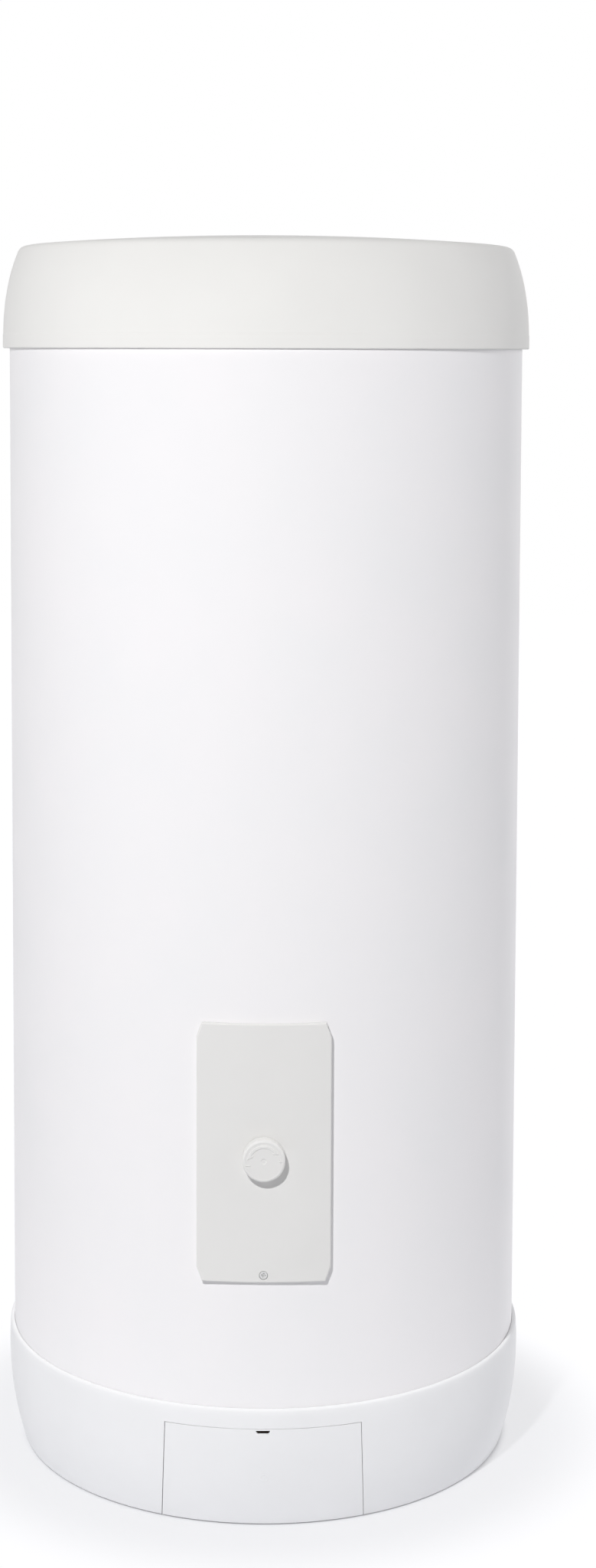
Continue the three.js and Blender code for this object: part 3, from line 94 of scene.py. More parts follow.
def add(tree, kind, inputs=None, **settings):
    """Adds one node, with its settings, its socket values and the links into it."""
    made = tree.nodes.new(kind)
    for name, value in settings.items():
        setattr(made, name, value)
    for name, value in (inputs or {}).items():
        if isinstance(value, bpy.types.NodeSocket):
            tree.links.new(value, made.inputs[name])
        else:
            made.inputs[name].default_value = value
    return made


def new_material(name):
    """An empty material with its output, and its Object coordinates."""
    made = bpy.data.materials.new(name)
    made.use_nodes = True
    made.node_tree.nodes.clear()
    output = add(made.node_tree, "ShaderNodeOutputMaterial")
    place = add(made.node_tree, "ShaderNodeTexCoord").outputs["Object"]
    return made, output, place


def surface(
    name,
    colour,
    shade,
    roughness,
    grain,
    relief,
    patch=90.0,
    spread=0.05,
    pattern="noise",
    stretch=(1, 1, 1),
    **sockets,
):
    """A solid surface: broad patches mix colour and shade and move the roughness by
    spread, and a fine pattern of size grain stands up by relief. Sizes are in mm."""
    made, output, place = new_material(name)
    tree = made.node_tree
    per_patch, per_grain = 1 / (patch * MM), 1 / (grain * MM)
    broad = add(
        tree, "ShaderNodeTexNoise", {"Vector": place, "Scale": per_patch, "Detail": 3.0}
    ).outputs["Fac"]
    # Noise stays near its middle, so the share is spread to the full range.
    share = add(
        tree, "ShaderNodeMapRange", {"Value": broad, "From Min": 0.3, "From Max": 0.7}
    ).outputs["Result"]
    stretched = add(
        tree, "ShaderNodeMapping", {"Vector": place, "Scale": stretch}
    ).outputs["Vector"]
    if pattern == "cells":
        fine = add(
            tree, "ShaderNodeTexVoronoi", {"Vector": stretched, "Scale": per_grain}
        ).outputs["Distance"]
    else:
        fine = add(
            tree, "ShaderNodeTexNoise", {"Vector": stretched, "Scale": per_grain, "Detail": 2.0}
        ).outputs["Fac"]
    bump = add(
        tree,
        "ShaderNodeBump",
        {"Height": fine, "Strength": 1.0, "Distance": relief * MM},
    )
    tint = add(
        tree,
        "ShaderNodeMix",
        {"Factor": share, "A": linear(colour), "B": linear(shade)},
        data_type="RGBA",
    )
    gloss = add(
        tree,
        "ShaderNodeMapRange",
        {"Value": share, "To Min": roughness - spread, "To Max": roughness + spread},
    )
    shader = add(
        tree,
        "ShaderNodeBsdfPrincipled",
        {
            "Base Color": tint.outputs["Result"],
            "Roughness": gloss.outputs["Result"],
            "Normal": bump.outputs["Normal"],
            **sockets,
        },
    )
    tree.links.new(shader.outputs["BSDF"], output.inputs["Surface"])
    return made


# Enamelled sheet steel: white stove enamel, smooth and glossy, with the faint
# orange peel of a sprayed coat. The peel is drawn 4 mm wide so that it shows.
ENAMELLED_STEEL = surface(
    "enamelled_sheet_steel", "#f3f1f2", "#f1f0f1", 0.38, 4.0, 0.006,
    spread=0.03, **{"IOR": 1.5}
)
# Impact polystyrene, injection moulded in warm white: satin, with a fine spark
# grain from the mould, drawn 1 mm wide so that it shows.
MOULDED_POLYSTYRENE = surface(
    "moulded_polystyrene_warm_white", "#ebeae7", "#e9e8e5", 0.6, 1.0, 0.006,
    **{"IOR": 1.55}
)
# The same moulding in a slightly cooler batch for the base, a little more worn.
MOULDED_SKIRT = surface(
    "moulded_polystyrene_base", "#ededee", "#eaeaeb", 0.42, 1.0, 0.006,
    **{"IOR": 1.55}
)
# ABS of the service cover and its knob: matt, a shade darker and warmer.
MOULDED_ABS = surface(
    "moulded_abs_matt", "#e5e4e2", "#e3e2e0", 0.55, 0.9, 0.007,
    **{"IOR": 1.53}
)
# Zinc-plated steel screw, bright passivated: pale grey with a soft sheen.
PLATED_SCREW = surface(
    "zinc_plated_screw_steel", "#dededd", "#d6d6d7", 0.4, 1.2, 0.004,
    patch=6.0, **{"Metallic": 0.25}
)
# Hot-dip galvanised sheet: dull grey with crystal spangles about 9 mm across.
GALVANISED = surface(
    "galvanised_sheet", "#b6babd", "#9da2a6", 0.42, 9.0, 0.02,
    patch=30.0, spread=0.12, pattern="cells", **{"Metallic": 1.0}
)
# Zinc-plated fastener steel: finer, brighter and without spangle.
ZINC_PLATED = surface(
    "zinc_plated_fastener", "#c3c7cb", "#aeb3b8", 0.34, 1.5, 0.006,
    patch=12.0, spread=0.08, **{"Metallic": 1.0}
)
# Stainless steel, cold rolled, with rolling lines along the height.
STAINLESS = surface(
    "stainless_cold_rolled", "#c5c7ca", "#b4b7bb", 0.3, 2.0, 0.004,
    spread=0.06, stretch=(1, 1, 0.05), **{"Metallic": 1.0}
)
# Brass, hot pressed and tumbled: dull yellow with darker handled patches.
BRASS = surface(
    "pressed_brass", "#c9a968", "#a98a4c", 0.36, 2.2, 0.03,
    patch=16.0, spread=0.1, **{"Metallic": 1.0}
)
# Copper pipe, drawn hard: pink brown with tarnish, marks run along the draw.
COPPER = surface(
    "drawn_copper", "#c98a66", "#9c5c40", 0.32, 3.0, 0.01,
    patch=35.0, spread=0.12, stretch=(1, 0.15, 1), **{"Metallic": 1.0}
)
# Polyurethane foam, poured: pale yellow, matt, with cells about 2 mm across.
FOAM = surface(
    "polyurethane_foam", "#e2d9a8", "#d3c88f", 0.95, 2.0, 0.5,
    patch=60.0, spread=0.03, pattern="cells"
)
# Polypropylene of the wiring pocket: pale grey, waxy.
LINER_PLASTIC = surface(
    "moulded_polypropylene_liner", "#d9d9d6", "#cfcfcc", 0.5, 1.2, 0.02,
    patch=40.0, **{"IOR": 1.49}
)
# Nitrile rubber of the flange gasket: black and dull.
RUBBER = surface("nitrile_rubber", "#1f2022", "#2b2c2e", 0.8, 0.8, 0.03, patch=15.0)
# Glass-filled nylon, black: matt with a fine fibre grain.
BLACK_NYLON = surface("black_nylon", "#1d1e20", "#2a2b2d", 0.52, 0.9, 0.02, patch=20.0)
# Grey nylon of the terminal block and the cable conduit: matt, a little blue.
GREY_NYLON = surface("grey_nylon", "#75787c", "#686b6f", 0.5, 0.9, 0.02, patch=20.0)
# Moulded plastic of the mixing valve's knob and the reset button: strong red, satin.
RED_PLASTIC = surface("red_moulded_plastic", "#b0261f", "#9c1f1a", 0.4, 0.9, 0.012, patch=20.0)
# PVC sleeves of the wires, neutral blue and live brown: smooth, with a soft shine.
BLUE_PVC = surface("blue_pvc_sleeve", "#2a5caa", "#244f94", 0.42, 1.5, 0.01, patch=20.0)
BROWN_PVC = surface("brown_pvc_sleeve", "#6b3f26", "#5b341f", 0.42, 1.5, 0.01, patch=20.0)

# ------------------------------------------------------------------ shape tools

# Right-handed axes for a turned piece: two across, and the one it grows along.
UP = np.array([[1, 0, 0], [0, 1, 0], [0, 0, 1]], float)
DOWN = np.array([[0, 1, 0], [1, 0, 0], [0, 0, -1]], float)
FRONT = np.array([[1, 0, 0], [0, 0, 1], [0, -1, 0]], float)
REAR = np.array([[-1, 0, 0], [0, 0, 1], [0, 1, 0]], float)
RIGHT = np.array([[0, 1, 0], [0, 0, 1], [1, 0, 0]], float)
LEFT = np.array([[0, -1, 0], [0, 0, 1], [-1, 0, 0]], float)


def lines(stops, steps):
    """Rising grid values through every stop; steps gives each span's spacing."""
    spans = [
        np.linspace(a, b, max(1, math.ceil((b - a) / step - 1e-6)) + 1)
        for a, b, step in zip(stops, stops[1:], steps)
    ]
    return np.unique(np.round(np.concatenate(spans), 7))


def between(value, stops, targets):
    """Piecewise-linear map of one row of values from stops to each row's targets."""
    stops = np.asarray(stops, float)
    span = np.clip(np.searchsorted(stops, value, side="right") - 1, 0, len(stops) - 2)
    share = (value - stops[span]) / (stops[span + 1] - stops[span])
    return targets[:, span] * (1 - share) + targets[:, span + 1] * share


def smooth_step(value, low, high):
    """0 below low, 1 above high, with a cubic ease between."""
    share = np.clip((value - low) / (high - low), 0, 1)
    return share * share * (3 - 2 * share)


def arc(centre, radius, start, end, steps):
    """Points of a circle's arc, [across, up], from a start to an end in degrees."""
    angle = np.radians(np.linspace(start, end, steps))
    across = centre[0] + radius * np.cos(angle)
    return np.stack([across, centre[1] + radius * np.sin(angle)], -1)


def corners_of(number, wrap=True):
    """The four corners of each cell in a grid of point numbers, in the order in which
    columns to the right and rows up face outwards. wrap joins the last column to the
    first."""
    beside = np.roll(number, -1, 1)
    corners = [number[:-1], beside[:-1], beside[1:], number[1:]]
    return corners if wrap else [corner[:, :-1] for corner in corners]


def quads_of(number):
    """The quads of a grid of point numbers whose last column meets the first."""
    return np.stack(corners_of(number), -1).reshape(-1, 4)


def turned(profile, origin=(0, 0, 0), axes=UP, sides=64, angles=None, radii=None, heights=None):
    """Points and quads of a profile turned about an axis: [radius, height] points run
    up the outside and back to the axis. radii and heights, one row for each profile
    point and one column for each angle, replace the profile where it isn't round."""
    angle = np.arange(sides) * TAU / sides if angles is None else angles
    if radii is None:
        radii = np.asarray(profile, float)[:, :1]
    if heights is None:
        heights = np.asarray(profile, float)[:, 1:]
    across = radii * np.sin(angle)
    over = -radii * np.cos(angle)
    along = heights + np.zeros_like(across)
    local = np.stack([across, over, along], -1)
    points = local @ axes + np.asarray(origin, float)
    number = np.arange(across.size).reshape(across.shape)
    return points.reshape(-1, 3), quads_of(number)


def shell(outer, inner, keep, wrap=True):
    """Points and quads of the closed wall between two grids of the same rows and
    columns. Cells that keep drops are open, and every free edge gets a rim."""
    rows, columns = outer.shape[:2]
    under = rows * columns
    corner = corners_of(np.arange(under).reshape(rows, columns), wrap)
    faces = [np.stack(corner, -1)[keep], np.stack(corner[::-1], -1)[keep] + under]
    # Each cell's lower, right, upper and left side, and where its neighbour lies.
    for side, way, axis in ((0, -1, 0), (1, 1, 1), (2, 1, 0), (3, -1, 1)):
        ahead = np.roll(keep, -way, axis)
        if not (wrap and axis == 1):
            border = [slice(None), slice(None)]
            border[axis] = -1 if way == 1 else 0
            ahead[tuple(border)] = False
        free = keep & ~ahead
        a, b = corner[side][free], corner[(side + 1) % 4][free]
        faces.append(np.stack([b, a, a + under, b + under], -1))
    points = np.concatenate([outer.reshape(-1, 3), inner.reshape(-1, 3)])
    return points, np.concatenate(faces)


def middles(grid):
    """The middle of each cell of a grid of values."""
    return (grid[:-1, :-1] + grid[1:, 1:]) / 2


def round_hole(across, up, keep, centre, radius):
    """Opens a round hole in a grid: cells whose middle lies in it are dropped, and
    the points on its edge move onto the circle."""
    inside = np.hypot(middles(across) - centre[0], middles(up) - centre[1]) < radius
    keep &= ~inside
    touched = np.zeros(across.shape, bool)
    for row in (slice(None, -1), slice(1, None)):
        for column in (slice(None, -1), slice(1, None)):
            touched[row, column] |= inside
    far = np.hypot(across - centre[0], up - centre[1])
    scale = np.where(touched & (far > 0), radius / np.maximum(far, 1e-9), 1)
    # Only the rim matters: points wholly inside belong to no cell that is kept.
    across[:] = centre[0] + (across - centre[0]) * scale
    up[:] = centre[1] + (up - centre[1]) * scale


def swept(path, radius, bore=0.0, sides=24, beside=(0, 0, 1)):
    """Points and quads of a round tube or bar along a path: a circle is carried square
    to the path, out along the outside and back through the bore or to the axis."""
    path = np.asarray(path, float)
    ahead = np.gradient(path, axis=0)
    ahead /= np.linalg.norm(ahead, axis=1, keepdims=True)
    side = np.cross(ahead, np.asarray(beside, float))
    side /= np.linalg.norm(side, axis=1, keepdims=True)
    over = np.cross(ahead, side)
    count = len(path)
    out = np.arange(count)
    if bore:
        stations = np.concatenate([out, out[::-1], out[:1]])
        radii = np.concatenate([np.full(count, radius), np.full(count, bore), [radius]])
    else:
        stations = np.concatenate([out[:1], out, out[-1:]])
        radii = np.concatenate([[0.0], np.full(count, radius), [0.0]])
    angle = np.arange(sides) * TAU / sides
    spoke = (
        np.cos(angle)[None, :, None] * side[stations][:, None]
        + np.sin(angle)[None, :, None] * over[stations][:, None]
    )
    points = path[stations][:, None] + radii[:, None, None] * spoke
    number = np.arange(len(stations) * sides).reshape(-1, sides)
    return points.reshape(-1, 3), quads_of(number)


def block(low, high, radius, steps=3):
    """Points and quads of a box with round edges: its core, smaller by the radius all
    round, plus a ball's point for every direction, closed over its top and bottom."""
    low, high = np.asarray(low, float), np.asarray(high, float)
    middle, core = (low + high) / 2, (high - low) / 2 - radius
    quarter = np.linspace(0, math.pi / 2, steps + 1)
    turn = np.concatenate([quarter + k * math.pi / 2 for k in range(4)])
    facing = np.repeat([[1, 1], [-1, 1], [-1, -1], [1, -1]], steps + 1, 0)
    lift = np.concatenate([quarter - math.pi / 2, quarter])[:, None]
    upper = np.repeat([-1, 1], steps + 1)[:, None]
    x = facing[:, 0] * core[0] + radius * np.cos(turn) * np.cos(lift)
    y = facing[:, 1] * core[1] + radius * np.sin(turn) * np.cos(lift)
    z = upper * core[2] + radius * np.sin(lift) + 0 * x
    grid = np.stack([x, y, z], -1)
    caps = [np.zeros_like(grid[:1]) + [0, 0, side * (core[2] + radius)] for side in (-1, 1)]
    grid = np.concatenate([caps[0], grid, caps[1]]) + middle
    number = np.arange(grid.shape[0] * grid.shape[1]).reshape(grid.shape[:2])
    return grid.reshape(-1, 3), quads_of(number)


def curve_through(stops, count=48):
    """A smooth path through stops: a cubic of each coordinate over the chord length."""
    stops = np.asarray(stops, float)
    chord = np.concatenate([[0], np.cumsum(np.linalg.norm(np.diff(stops, axis=0), axis=1))])
    slope = np.gradient(stops, chord, axis=0)
    value = np.linspace(0, chord[-1], count)
    span = np.clip(np.searchsorted(chord, value, side="right") - 1, 0, len(stops) - 2)
    width = (chord[span + 1] - chord[span])[:, None]
    t = (value - chord[span])[:, None] / width
    near, far = stops[span], stops[span + 1]
    rise, fall = slope[span] * width, slope[span + 1] * width
    return (
        (2 * t**3 - 3 * t**2 + 1) * near
        + (t**3 - 2 * t**2 + t) * rise
        + (3 * t**2 - 2 * t**3) * far
        + (t**3 - t**2) * fall
    )


# Points closer than this, in metres, are one, and edges shorter than this are none.
SAME_POINT = 1e-6
NO_EDGE = 1e-7
BEVEL_FROM = 50.0


def make(
    name, solids, material, slot, stands_for=(), body="heater", sharp=32, bevel=0.0
):
    """One object from closed solids: doubles merged, smooth but for edges sharper
    than sharp in degrees, an optional bevel in mm, riding on its body. stands_for are
    the nodes it replaces."""
    starts = np.cumsum([0] + [len(points) for points, _ in solids])
    points = np.concatenate([points for points, _ in solids]) * MM
    quads = np.concatenate([faces + start for (_, faces), start in zip(solids, starts)])
    mesh = bpy.data.meshes.new(name)
    mesh.from_pydata(points.tolist(), [], quads.tolist())
    work = bmesh.new()
    work.from_mesh(mesh)
    bmesh.ops.remove_doubles(work, verts=work.verts, dist=SAME_POINT)
    bmesh.ops.dissolve_degenerate(work, edges=work.edges, dist=NO_EDGE)
    loose = [v for v in work.verts if not v.link_faces]
    bmesh.ops.delete(work, geom=loose, context="VERTS")
    work.to_mesh(mesh)
    work.free()
    mesh.shade_smooth()
    mesh.set_sharp_from_angle(angle=math.radians(sharp))
    mesh.materials.append(material)
    made = bpy.data.objects.new(name, mesh)
    bpy.context.scene.collection.objects.link(made)
    if bevel:
        rounding = made.modifiers.new("rounding", "BEVEL")
        rounding.width = bevel * MM
        rounding.segments = 2
        rounding.limit_method = "ANGLE"
        rounding.angle_limit = math.radians(BEVEL_FROM)
    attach(made, body)
    if stands_for:
        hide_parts(*stands_for)
    return made


def low_high(node):
    """A node's lowest and highest corners in mm."""
    low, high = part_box(node)
    return np.array(low) / MM, np.array(high) / MM


def centre_of(node):
    """The middle of a node's box in mm."""
    low, high = low_high(node)
    return (low + high) / 2


def to_front(node):
    """For a node that is round about an axis to the front: how far along that axis it
    starts and ends, and its radius."""
    low, high = low_high(node)
    return -high[1], -low[1], (high[0] - low[0]) / 2


# ------------------------------------------------------------------ lid

LID_DRAFT = 17.0
LID_CURVE = 2.6
LID_SIDE = 104.8
LID_SHOULDER = 9.0
LID_CROWN = 11.0
LID_WALL = 3.0
LID_EDGE = 1.6
LID_BAND = 14.0
LID_BAND_PROUD = 0.3
LID_BAND_FADE = 2.4
LID_BAND_FROM = 60.0
LID_SEAT = 12.0
LID_RIB = 4.5
RIB_CLEAR = 0.3
MOUTH_CHAMFER = 0.6
SLEEVE_GAP = 1.0

lid_low, lid_high = low_high("top_cover")
jacket_low, jacket_high = low_high("outer_jacket")
LID_RADIUS = lid_high[0]
SEAM_Z = lid_low[2]
JACKET_RADIUS = jacket_high[0]


def lid_skin(heights, inset):
    """The lid's side as [radius, z]: the radius falls with a power of the height, then
    a shoulder arc leads into a crown that is a parabola of the share of the radius."""
    band = LID_BAND_PROUD * smooth_step(heights, LID_BAND, LID_BAND + LID_BAND_FADE)
    band = np.where(inset > 0, 0, band * (1 - smooth_step(heights, LID_BAND_FROM, LID_SIDE)))
    side = LID_RADIUS - LID_DRAFT * (heights / LID_SIDE) ** LID_CURVE - band
    start = math.atan(LID_CURVE * LID_DRAFT / LID_SIDE)
    centre_r = LID_RADIUS - LID_DRAFT - LID_SHOULDER * math.cos(start)
    centre_z = LID_SIDE - LID_SHOULDER * math.sin(start)
    end = math.pi / 2 - math.atan(2 * LID_CROWN / centre_r)
    bend_at = (centre_r, SEAM_Z + centre_z)
    bend = arc(bend_at, LID_SHOULDER - inset, math.degrees(start), math.degrees(end), 12)[1:]
    share = np.linspace(1, 0, 26)[1:] ** 0.8
    crown_r = bend[-1, 0] * share
    crown = np.stack([crown_r, bend[-1, 1] + LID_CROWN * (1 - share**2)], -1)
    wall = np.stack([side - inset, SEAM_Z + heights], -1)
    return np.concatenate([wall, bend, crown])


def make_lid():
    """A closed turned profile: mouth, rolled lower edge, side, crown and back inside."""
    mouth = JACKET_RADIUS + SLEEVE_GAP
    heights = np.concatenate(
        [
            np.linspace(LID_EDGE, LID_BAND, 6),
            LID_BAND + LID_BAND_FADE * np.array([0.2, 0.4, 0.6, 0.8, 1.0]),
            np.linspace(LID_BAND + 4, LID_SIDE, 22),
        ]
    )
    outside = lid_skin(heights, 0)
    edge_centre = (outside[0, 0] - LID_EDGE, SEAM_Z + LID_EDGE)
    edge = arc(edge_centre, LID_EDGE, -90, 0, 7)[:-1]
    inside = lid_skin(np.linspace(LID_SEAT + LID_WALL, LID_SIDE, 12), LID_WALL)[::-1]
    rib = [
        [mouth - LID_RIB, SEAM_Z + LID_SEAT + LID_WALL],
        [mouth - LID_RIB, SEAM_Z + LID_SEAT + RIB_CLEAR],
        [mouth, SEAM_Z + LID_SEAT + RIB_CLEAR],
        [mouth, SEAM_Z + MOUTH_CHAMFER],
        [mouth + MOUTH_CHAMFER, SEAM_Z],
    ]
    profile = np.concatenate([inside, rib, edge, outside])
    solids = [turned(profile, sides=288)]
    make("lid", solids, MOULDED_POLYSTYRENE, "moulding", ["top_cover"], sharp=40)


make_lid()

# ------------------------------------------------------------------ jacket

JACKET_SHEET = 0.8
LAP_WIDTH = 14.0
LAP_THICK = 0.6
PEG_X = 45.0
PEG_HOLE = 2.9
PEG_DROP = 7.0
SCREW_HOLE = 2.4
# Grid spacing in mm: close round the holes and wide elsewhere. The close part reaches
# this far to the sides of a hole's middle, and above and below it.
CLOSE_STEP = 0.7
MIDDLE_STEP = 4.0
WIDE_STEP = 25.0
CLOSE_ACROSS = 4.2
CLOSE_UP = 4.0

cover_low, cover_high = low_high("service_cover")
liner_low, liner_high = low_high("element_liner")
screw_low, screw_high = low_high("cover_screw")
knob_low, knob_high = low_high("thermostat_knob")
WINDOW_HALF = 59.0
WINDOW_LOW = liner_low[2] + 11.2
WINDOW_HIGH = liner_high[2] - 9.4
SCREW_Z = (screw_low[2] + screw_high[2]) / 2
KNOB_Z = (knob_low[2] + knob_high[2]) / 2
PEG_Z = cover_high[2] - PEG_DROP


def wrap_round(angle, radius, z):
    """Points on a round wall: the angle runs to the right from the front."""
    return np.stack([radius * np.sin(angle), -radius * np.cos(angle), z], -1)


def make_jacket():
    """A round sheet over angle and height, with the pocket's window, the holes behind
    the cover and a lap along the back, where one end of the sheet lies on the other."""
    lap = LAP_WIDTH / 2 / JACKET_RADIUS
    window = math.asin(WINDOW_HALF / JACKET_RADIUS)
    peg = math.asin(PEG_X / JACKET_RADIUS)
    near = CLOSE_ACROSS / JACKET_RADIUS
    stops = [-math.pi, -math.pi + lap, -window, -peg - near, -peg + near, -near]
    stops = stops + [-stop for stop in stops[::-1]]
    close, wide = CLOSE_STEP / JACKET_RADIUS, TAU / 240
    steps = [lap / 2, wide, wide, close, wide, close, wide, close, wide, wide, lap / 2]
    angle = lines(stops, steps)[:-1]
    screw_span = [SCREW_Z - CLOSE_UP, SCREW_Z + CLOSE_UP]
    peg_span = [PEG_Z - CLOSE_UP, PEG_Z + CLOSE_UP]
    z = lines(
        [jacket_low[2], *screw_span, WINDOW_LOW, WINDOW_HIGH, *peg_span, jacket_high[2]],
        [WIDE_STEP, CLOSE_STEP, MIDDLE_STEP, WIDE_STEP, MIDDLE_STEP, CLOSE_STEP, WIDE_STEP],
    )
    across = np.tile(angle * JACKET_RADIUS, (len(z), 1))
    up = np.tile(z[:, None], (1, len(angle)))
    keep = np.ones((len(z) - 1, len(angle)), bool)
    front = keep[:, :-1]
    middle_z = middles(up)
    in_window = (middle_z > WINDOW_LOW) & (middle_z < WINDOW_HIGH)
    in_window &= np.abs(middles(across)) < window * JACKET_RADIUS
    front &= ~in_window
    for hole_x, hole_z, radius in (
        (-peg * JACKET_RADIUS, PEG_Z, PEG_HOLE),
        (peg * JACKET_RADIUS, PEG_Z, PEG_HOLE),
        (0, SCREW_Z, SCREW_HOLE),
    ):
        round_hole(across, up, front, (hole_x, hole_z), radius)
    turn = across / JACKET_RADIUS
    proud = LAP_THICK * (1 - smooth_step(math.pi - np.abs(turn), lap * 0.9, lap))
    outer = wrap_round(turn, JACKET_RADIUS + proud, up)
    inner = wrap_round(turn, JACKET_RADIUS - JACKET_SHEET + 0 * turn, up)
    solids = [shell(outer, inner, keep)]
    make("jacket", solids, ENAMELLED_STEEL, "lacquer", ["outer_jacket"], sharp=25)


make_jacket()

# ------------------------------------------------------------------ base skirt and hatch

SKIRT_WIDEST = 108.2
SKIRT_TUCK = 15.7
SKIRT_TUCK_CURVE = 2.25
SKIRT_LEAN = 1.2
SKIRT_LEAN_CURVE = 1.5
SKIRT_WALL = 3.2
SKIRT_RIM = 2.8
SKIRT_LIP_GAP = 0.25
SHELF_THICK = 3.0
SHELF_REACH = 14.0
SHELF_TOP = 106.1
# The shelf runs into the wall, but stops short of the hatch and of the hatch's slot.
SHELF_IN_WALL = 0.4
SHELF_OFF_HATCH = 0.5
SHELF_OFF_SLOT = 10.1
SHELF_HATCH_TURN = 0.42
SLOT_CLEAR = 11.0
MOULDED_BEVEL = 0.35
HATCH_GAP = 0.7
HATCH_TOP_GAP = 0.5
HATCH_TOP = 203.4
HATCH_BOTTOM = 210.6
HATCH_CROWN = 0.3
NOTCH_LEFT = -117.5
NOTCH_RIGHT = 73.0
NOTCH_TOP = 83.0
SLOT_TOP_HALF = 7.5
SLOT_LOW_HALF = 5.2
SLOT_HEIGHT = 3.5
SLOT_CURVE = 0.45
SLOT_DROP = 1.3
GATE_X = 1.4
GATE_Z = 55.9
GATE_RADIUS = 3.9
GATE_RISE = 0.3
GATE_ROOT = 0.5
GATE_LINE = 0.35
GATE_DOT = 0.75
GATE_TAPER = 0.05
CATCH_Z = 103.15
CATCH_THICK = 2.5
CATCH_NEAR = 9.0
CATCH_FAR = 20.0
CATCH_REACH = 12.0
CATCH_EDGE = 0.6

skirt_low, skirt_high = low_high("base_skirt")
hatch_low, hatch_high = low_high("base_hatch")
SKIRT_HEIGHT = skirt_high[2] - skirt_low[2]


def skirt_radius(z):
    """The skirt's outer radius: tucked in below the widest level, and leaning back a
    little above it, each by a power of the distance from that level."""
    height = z - skirt_low[2]
    below = np.clip(1 - height / SKIRT_WIDEST, 0, 1)
    above = np.clip((height - SKIRT_WIDEST) / (SKIRT_HEIGHT - SKIRT_WIDEST), 0, 1)
    tucked = skirt_high[0] - SKIRT_TUCK * below**SKIRT_TUCK_CURVE
    return tucked - SKIRT_LEAN * above**SKIRT_LEAN_CURVE


def hatch_half(z, margin):
    """Half the hatch's width at a height, grown by a margin."""
    share = (z - hatch_low[2]) / (hatch_high[2] - hatch_low[2])
    return (HATCH_BOTTOM + (HATCH_TOP - HATCH_BOTTOM) * np.clip(share, 0, 1)) / 2 + margin


def skirt_rows():
    """The skirt's outer and inner [radius, z] rows, the top rolled over."""
    opening = hatch_high[2] + HATCH_TOP_GAP
    top = skirt_high[2] - SKIRT_RIM
    z = lines([skirt_low[2], NOTCH_TOP, opening, top], [6, 4.5, 4.5])
    out_r = skirt_radius(z)
    roll = arc((skirt_radius(skirt_high[2]) - SKIRT_RIM, top), SKIRT_RIM, 0, 90, 7)[1:]
    lip_r = JACKET_RADIUS + SKIRT_LIP_GAP
    outer = np.concatenate([np.stack([out_r, z], -1), roll, [[lip_r + 0.3, skirt_high[2]]]])
    in_r = out_r[-1] - SKIRT_WALL
    # Inside, the wall eases out to the lip within the first three rows of the roll.
    level = np.arange(1, len(roll) + 2)
    lip = in_r + (lip_r - in_r) * smooth_step(level, 0, 3)
    inner_top = np.stack([lip, top + SKIRT_RIM * level / (len(roll) + 2)], -1)
    inner = np.concatenate([np.stack([out_r - SKIRT_WALL, z], -1), inner_top])
    return outer, inner, opening


def make_skirt():
    """A round wall whose grid columns follow the slanted sides of the hatch's opening
    and the sides of the rear notch, with the shelf that stiffens it inside."""
    outer, inner, opening = skirt_rows()
    z = np.minimum(outer[:, 1], opening)
    radius = outer[:, 0]
    hatch = np.arcsin(hatch_half(z, HATCH_GAP) / radius)
    right = math.pi - np.arcsin(NOTCH_RIGHT / radius)
    left = math.pi + np.arcsin(-NOTCH_LEFT / radius)
    targets = np.stack([-hatch, hatch, right, left, TAU - hatch], -1)
    across = lines([0, 1, 2, 3, 4], [1 / 36, 1 / 100, 1 / 40, 1 / 100])[:-1]
    turn = between(across, [0, 1, 2, 3, 4], targets)
    row = (outer[1:, 1] + outer[:-1, 1])[:, None] / 2
    in_hatch = (across < 1) & (row < opening)
    in_notch = (across >= 2) & (across < 3) & (row < NOTCH_TOP)
    keep = ~(in_hatch | in_notch)
    outside = wrap_round(turn, outer[:, :1], outer[:, 1:] + 0 * turn)
    inside = wrap_round(turn, inner[:, :1], inner[:, 1:] + 0 * turn)
    wall = shell(outside, inside, keep)
    angle = np.arange(256) * TAU / 256
    aside = np.abs((angle + math.pi) % TAU - math.pi)
    short = np.where(aside < SHELF_HATCH_TURN, SHELF_OFF_HATCH, -SHELF_IN_WALL)
    short = np.where(aside < SLOT_CLEAR / skirt_high[0], SHELF_OFF_SLOT, short)
    wall_r = skirt_high[0] - SKIRT_WALL
    front = wall_r - short
    back = wall_r - SHELF_REACH + 0 * angle
    top = skirt_low[2] + SHELF_TOP
    under = top - SHELF_THICK
    rings = np.stack([back, front, front, back, back])
    levels = np.array([[under], [under], [top], [top], [under]])
    shelf = turned(None, angles=angle, radii=rings, heights=levels)
    solids = [wall, shelf]
    finish = (MOULDED_SKIRT, "skirt_moulding")
    make("skirt", solids, *finish, ["base_skirt"], bevel=MOULDED_BEVEL)


make_skirt()


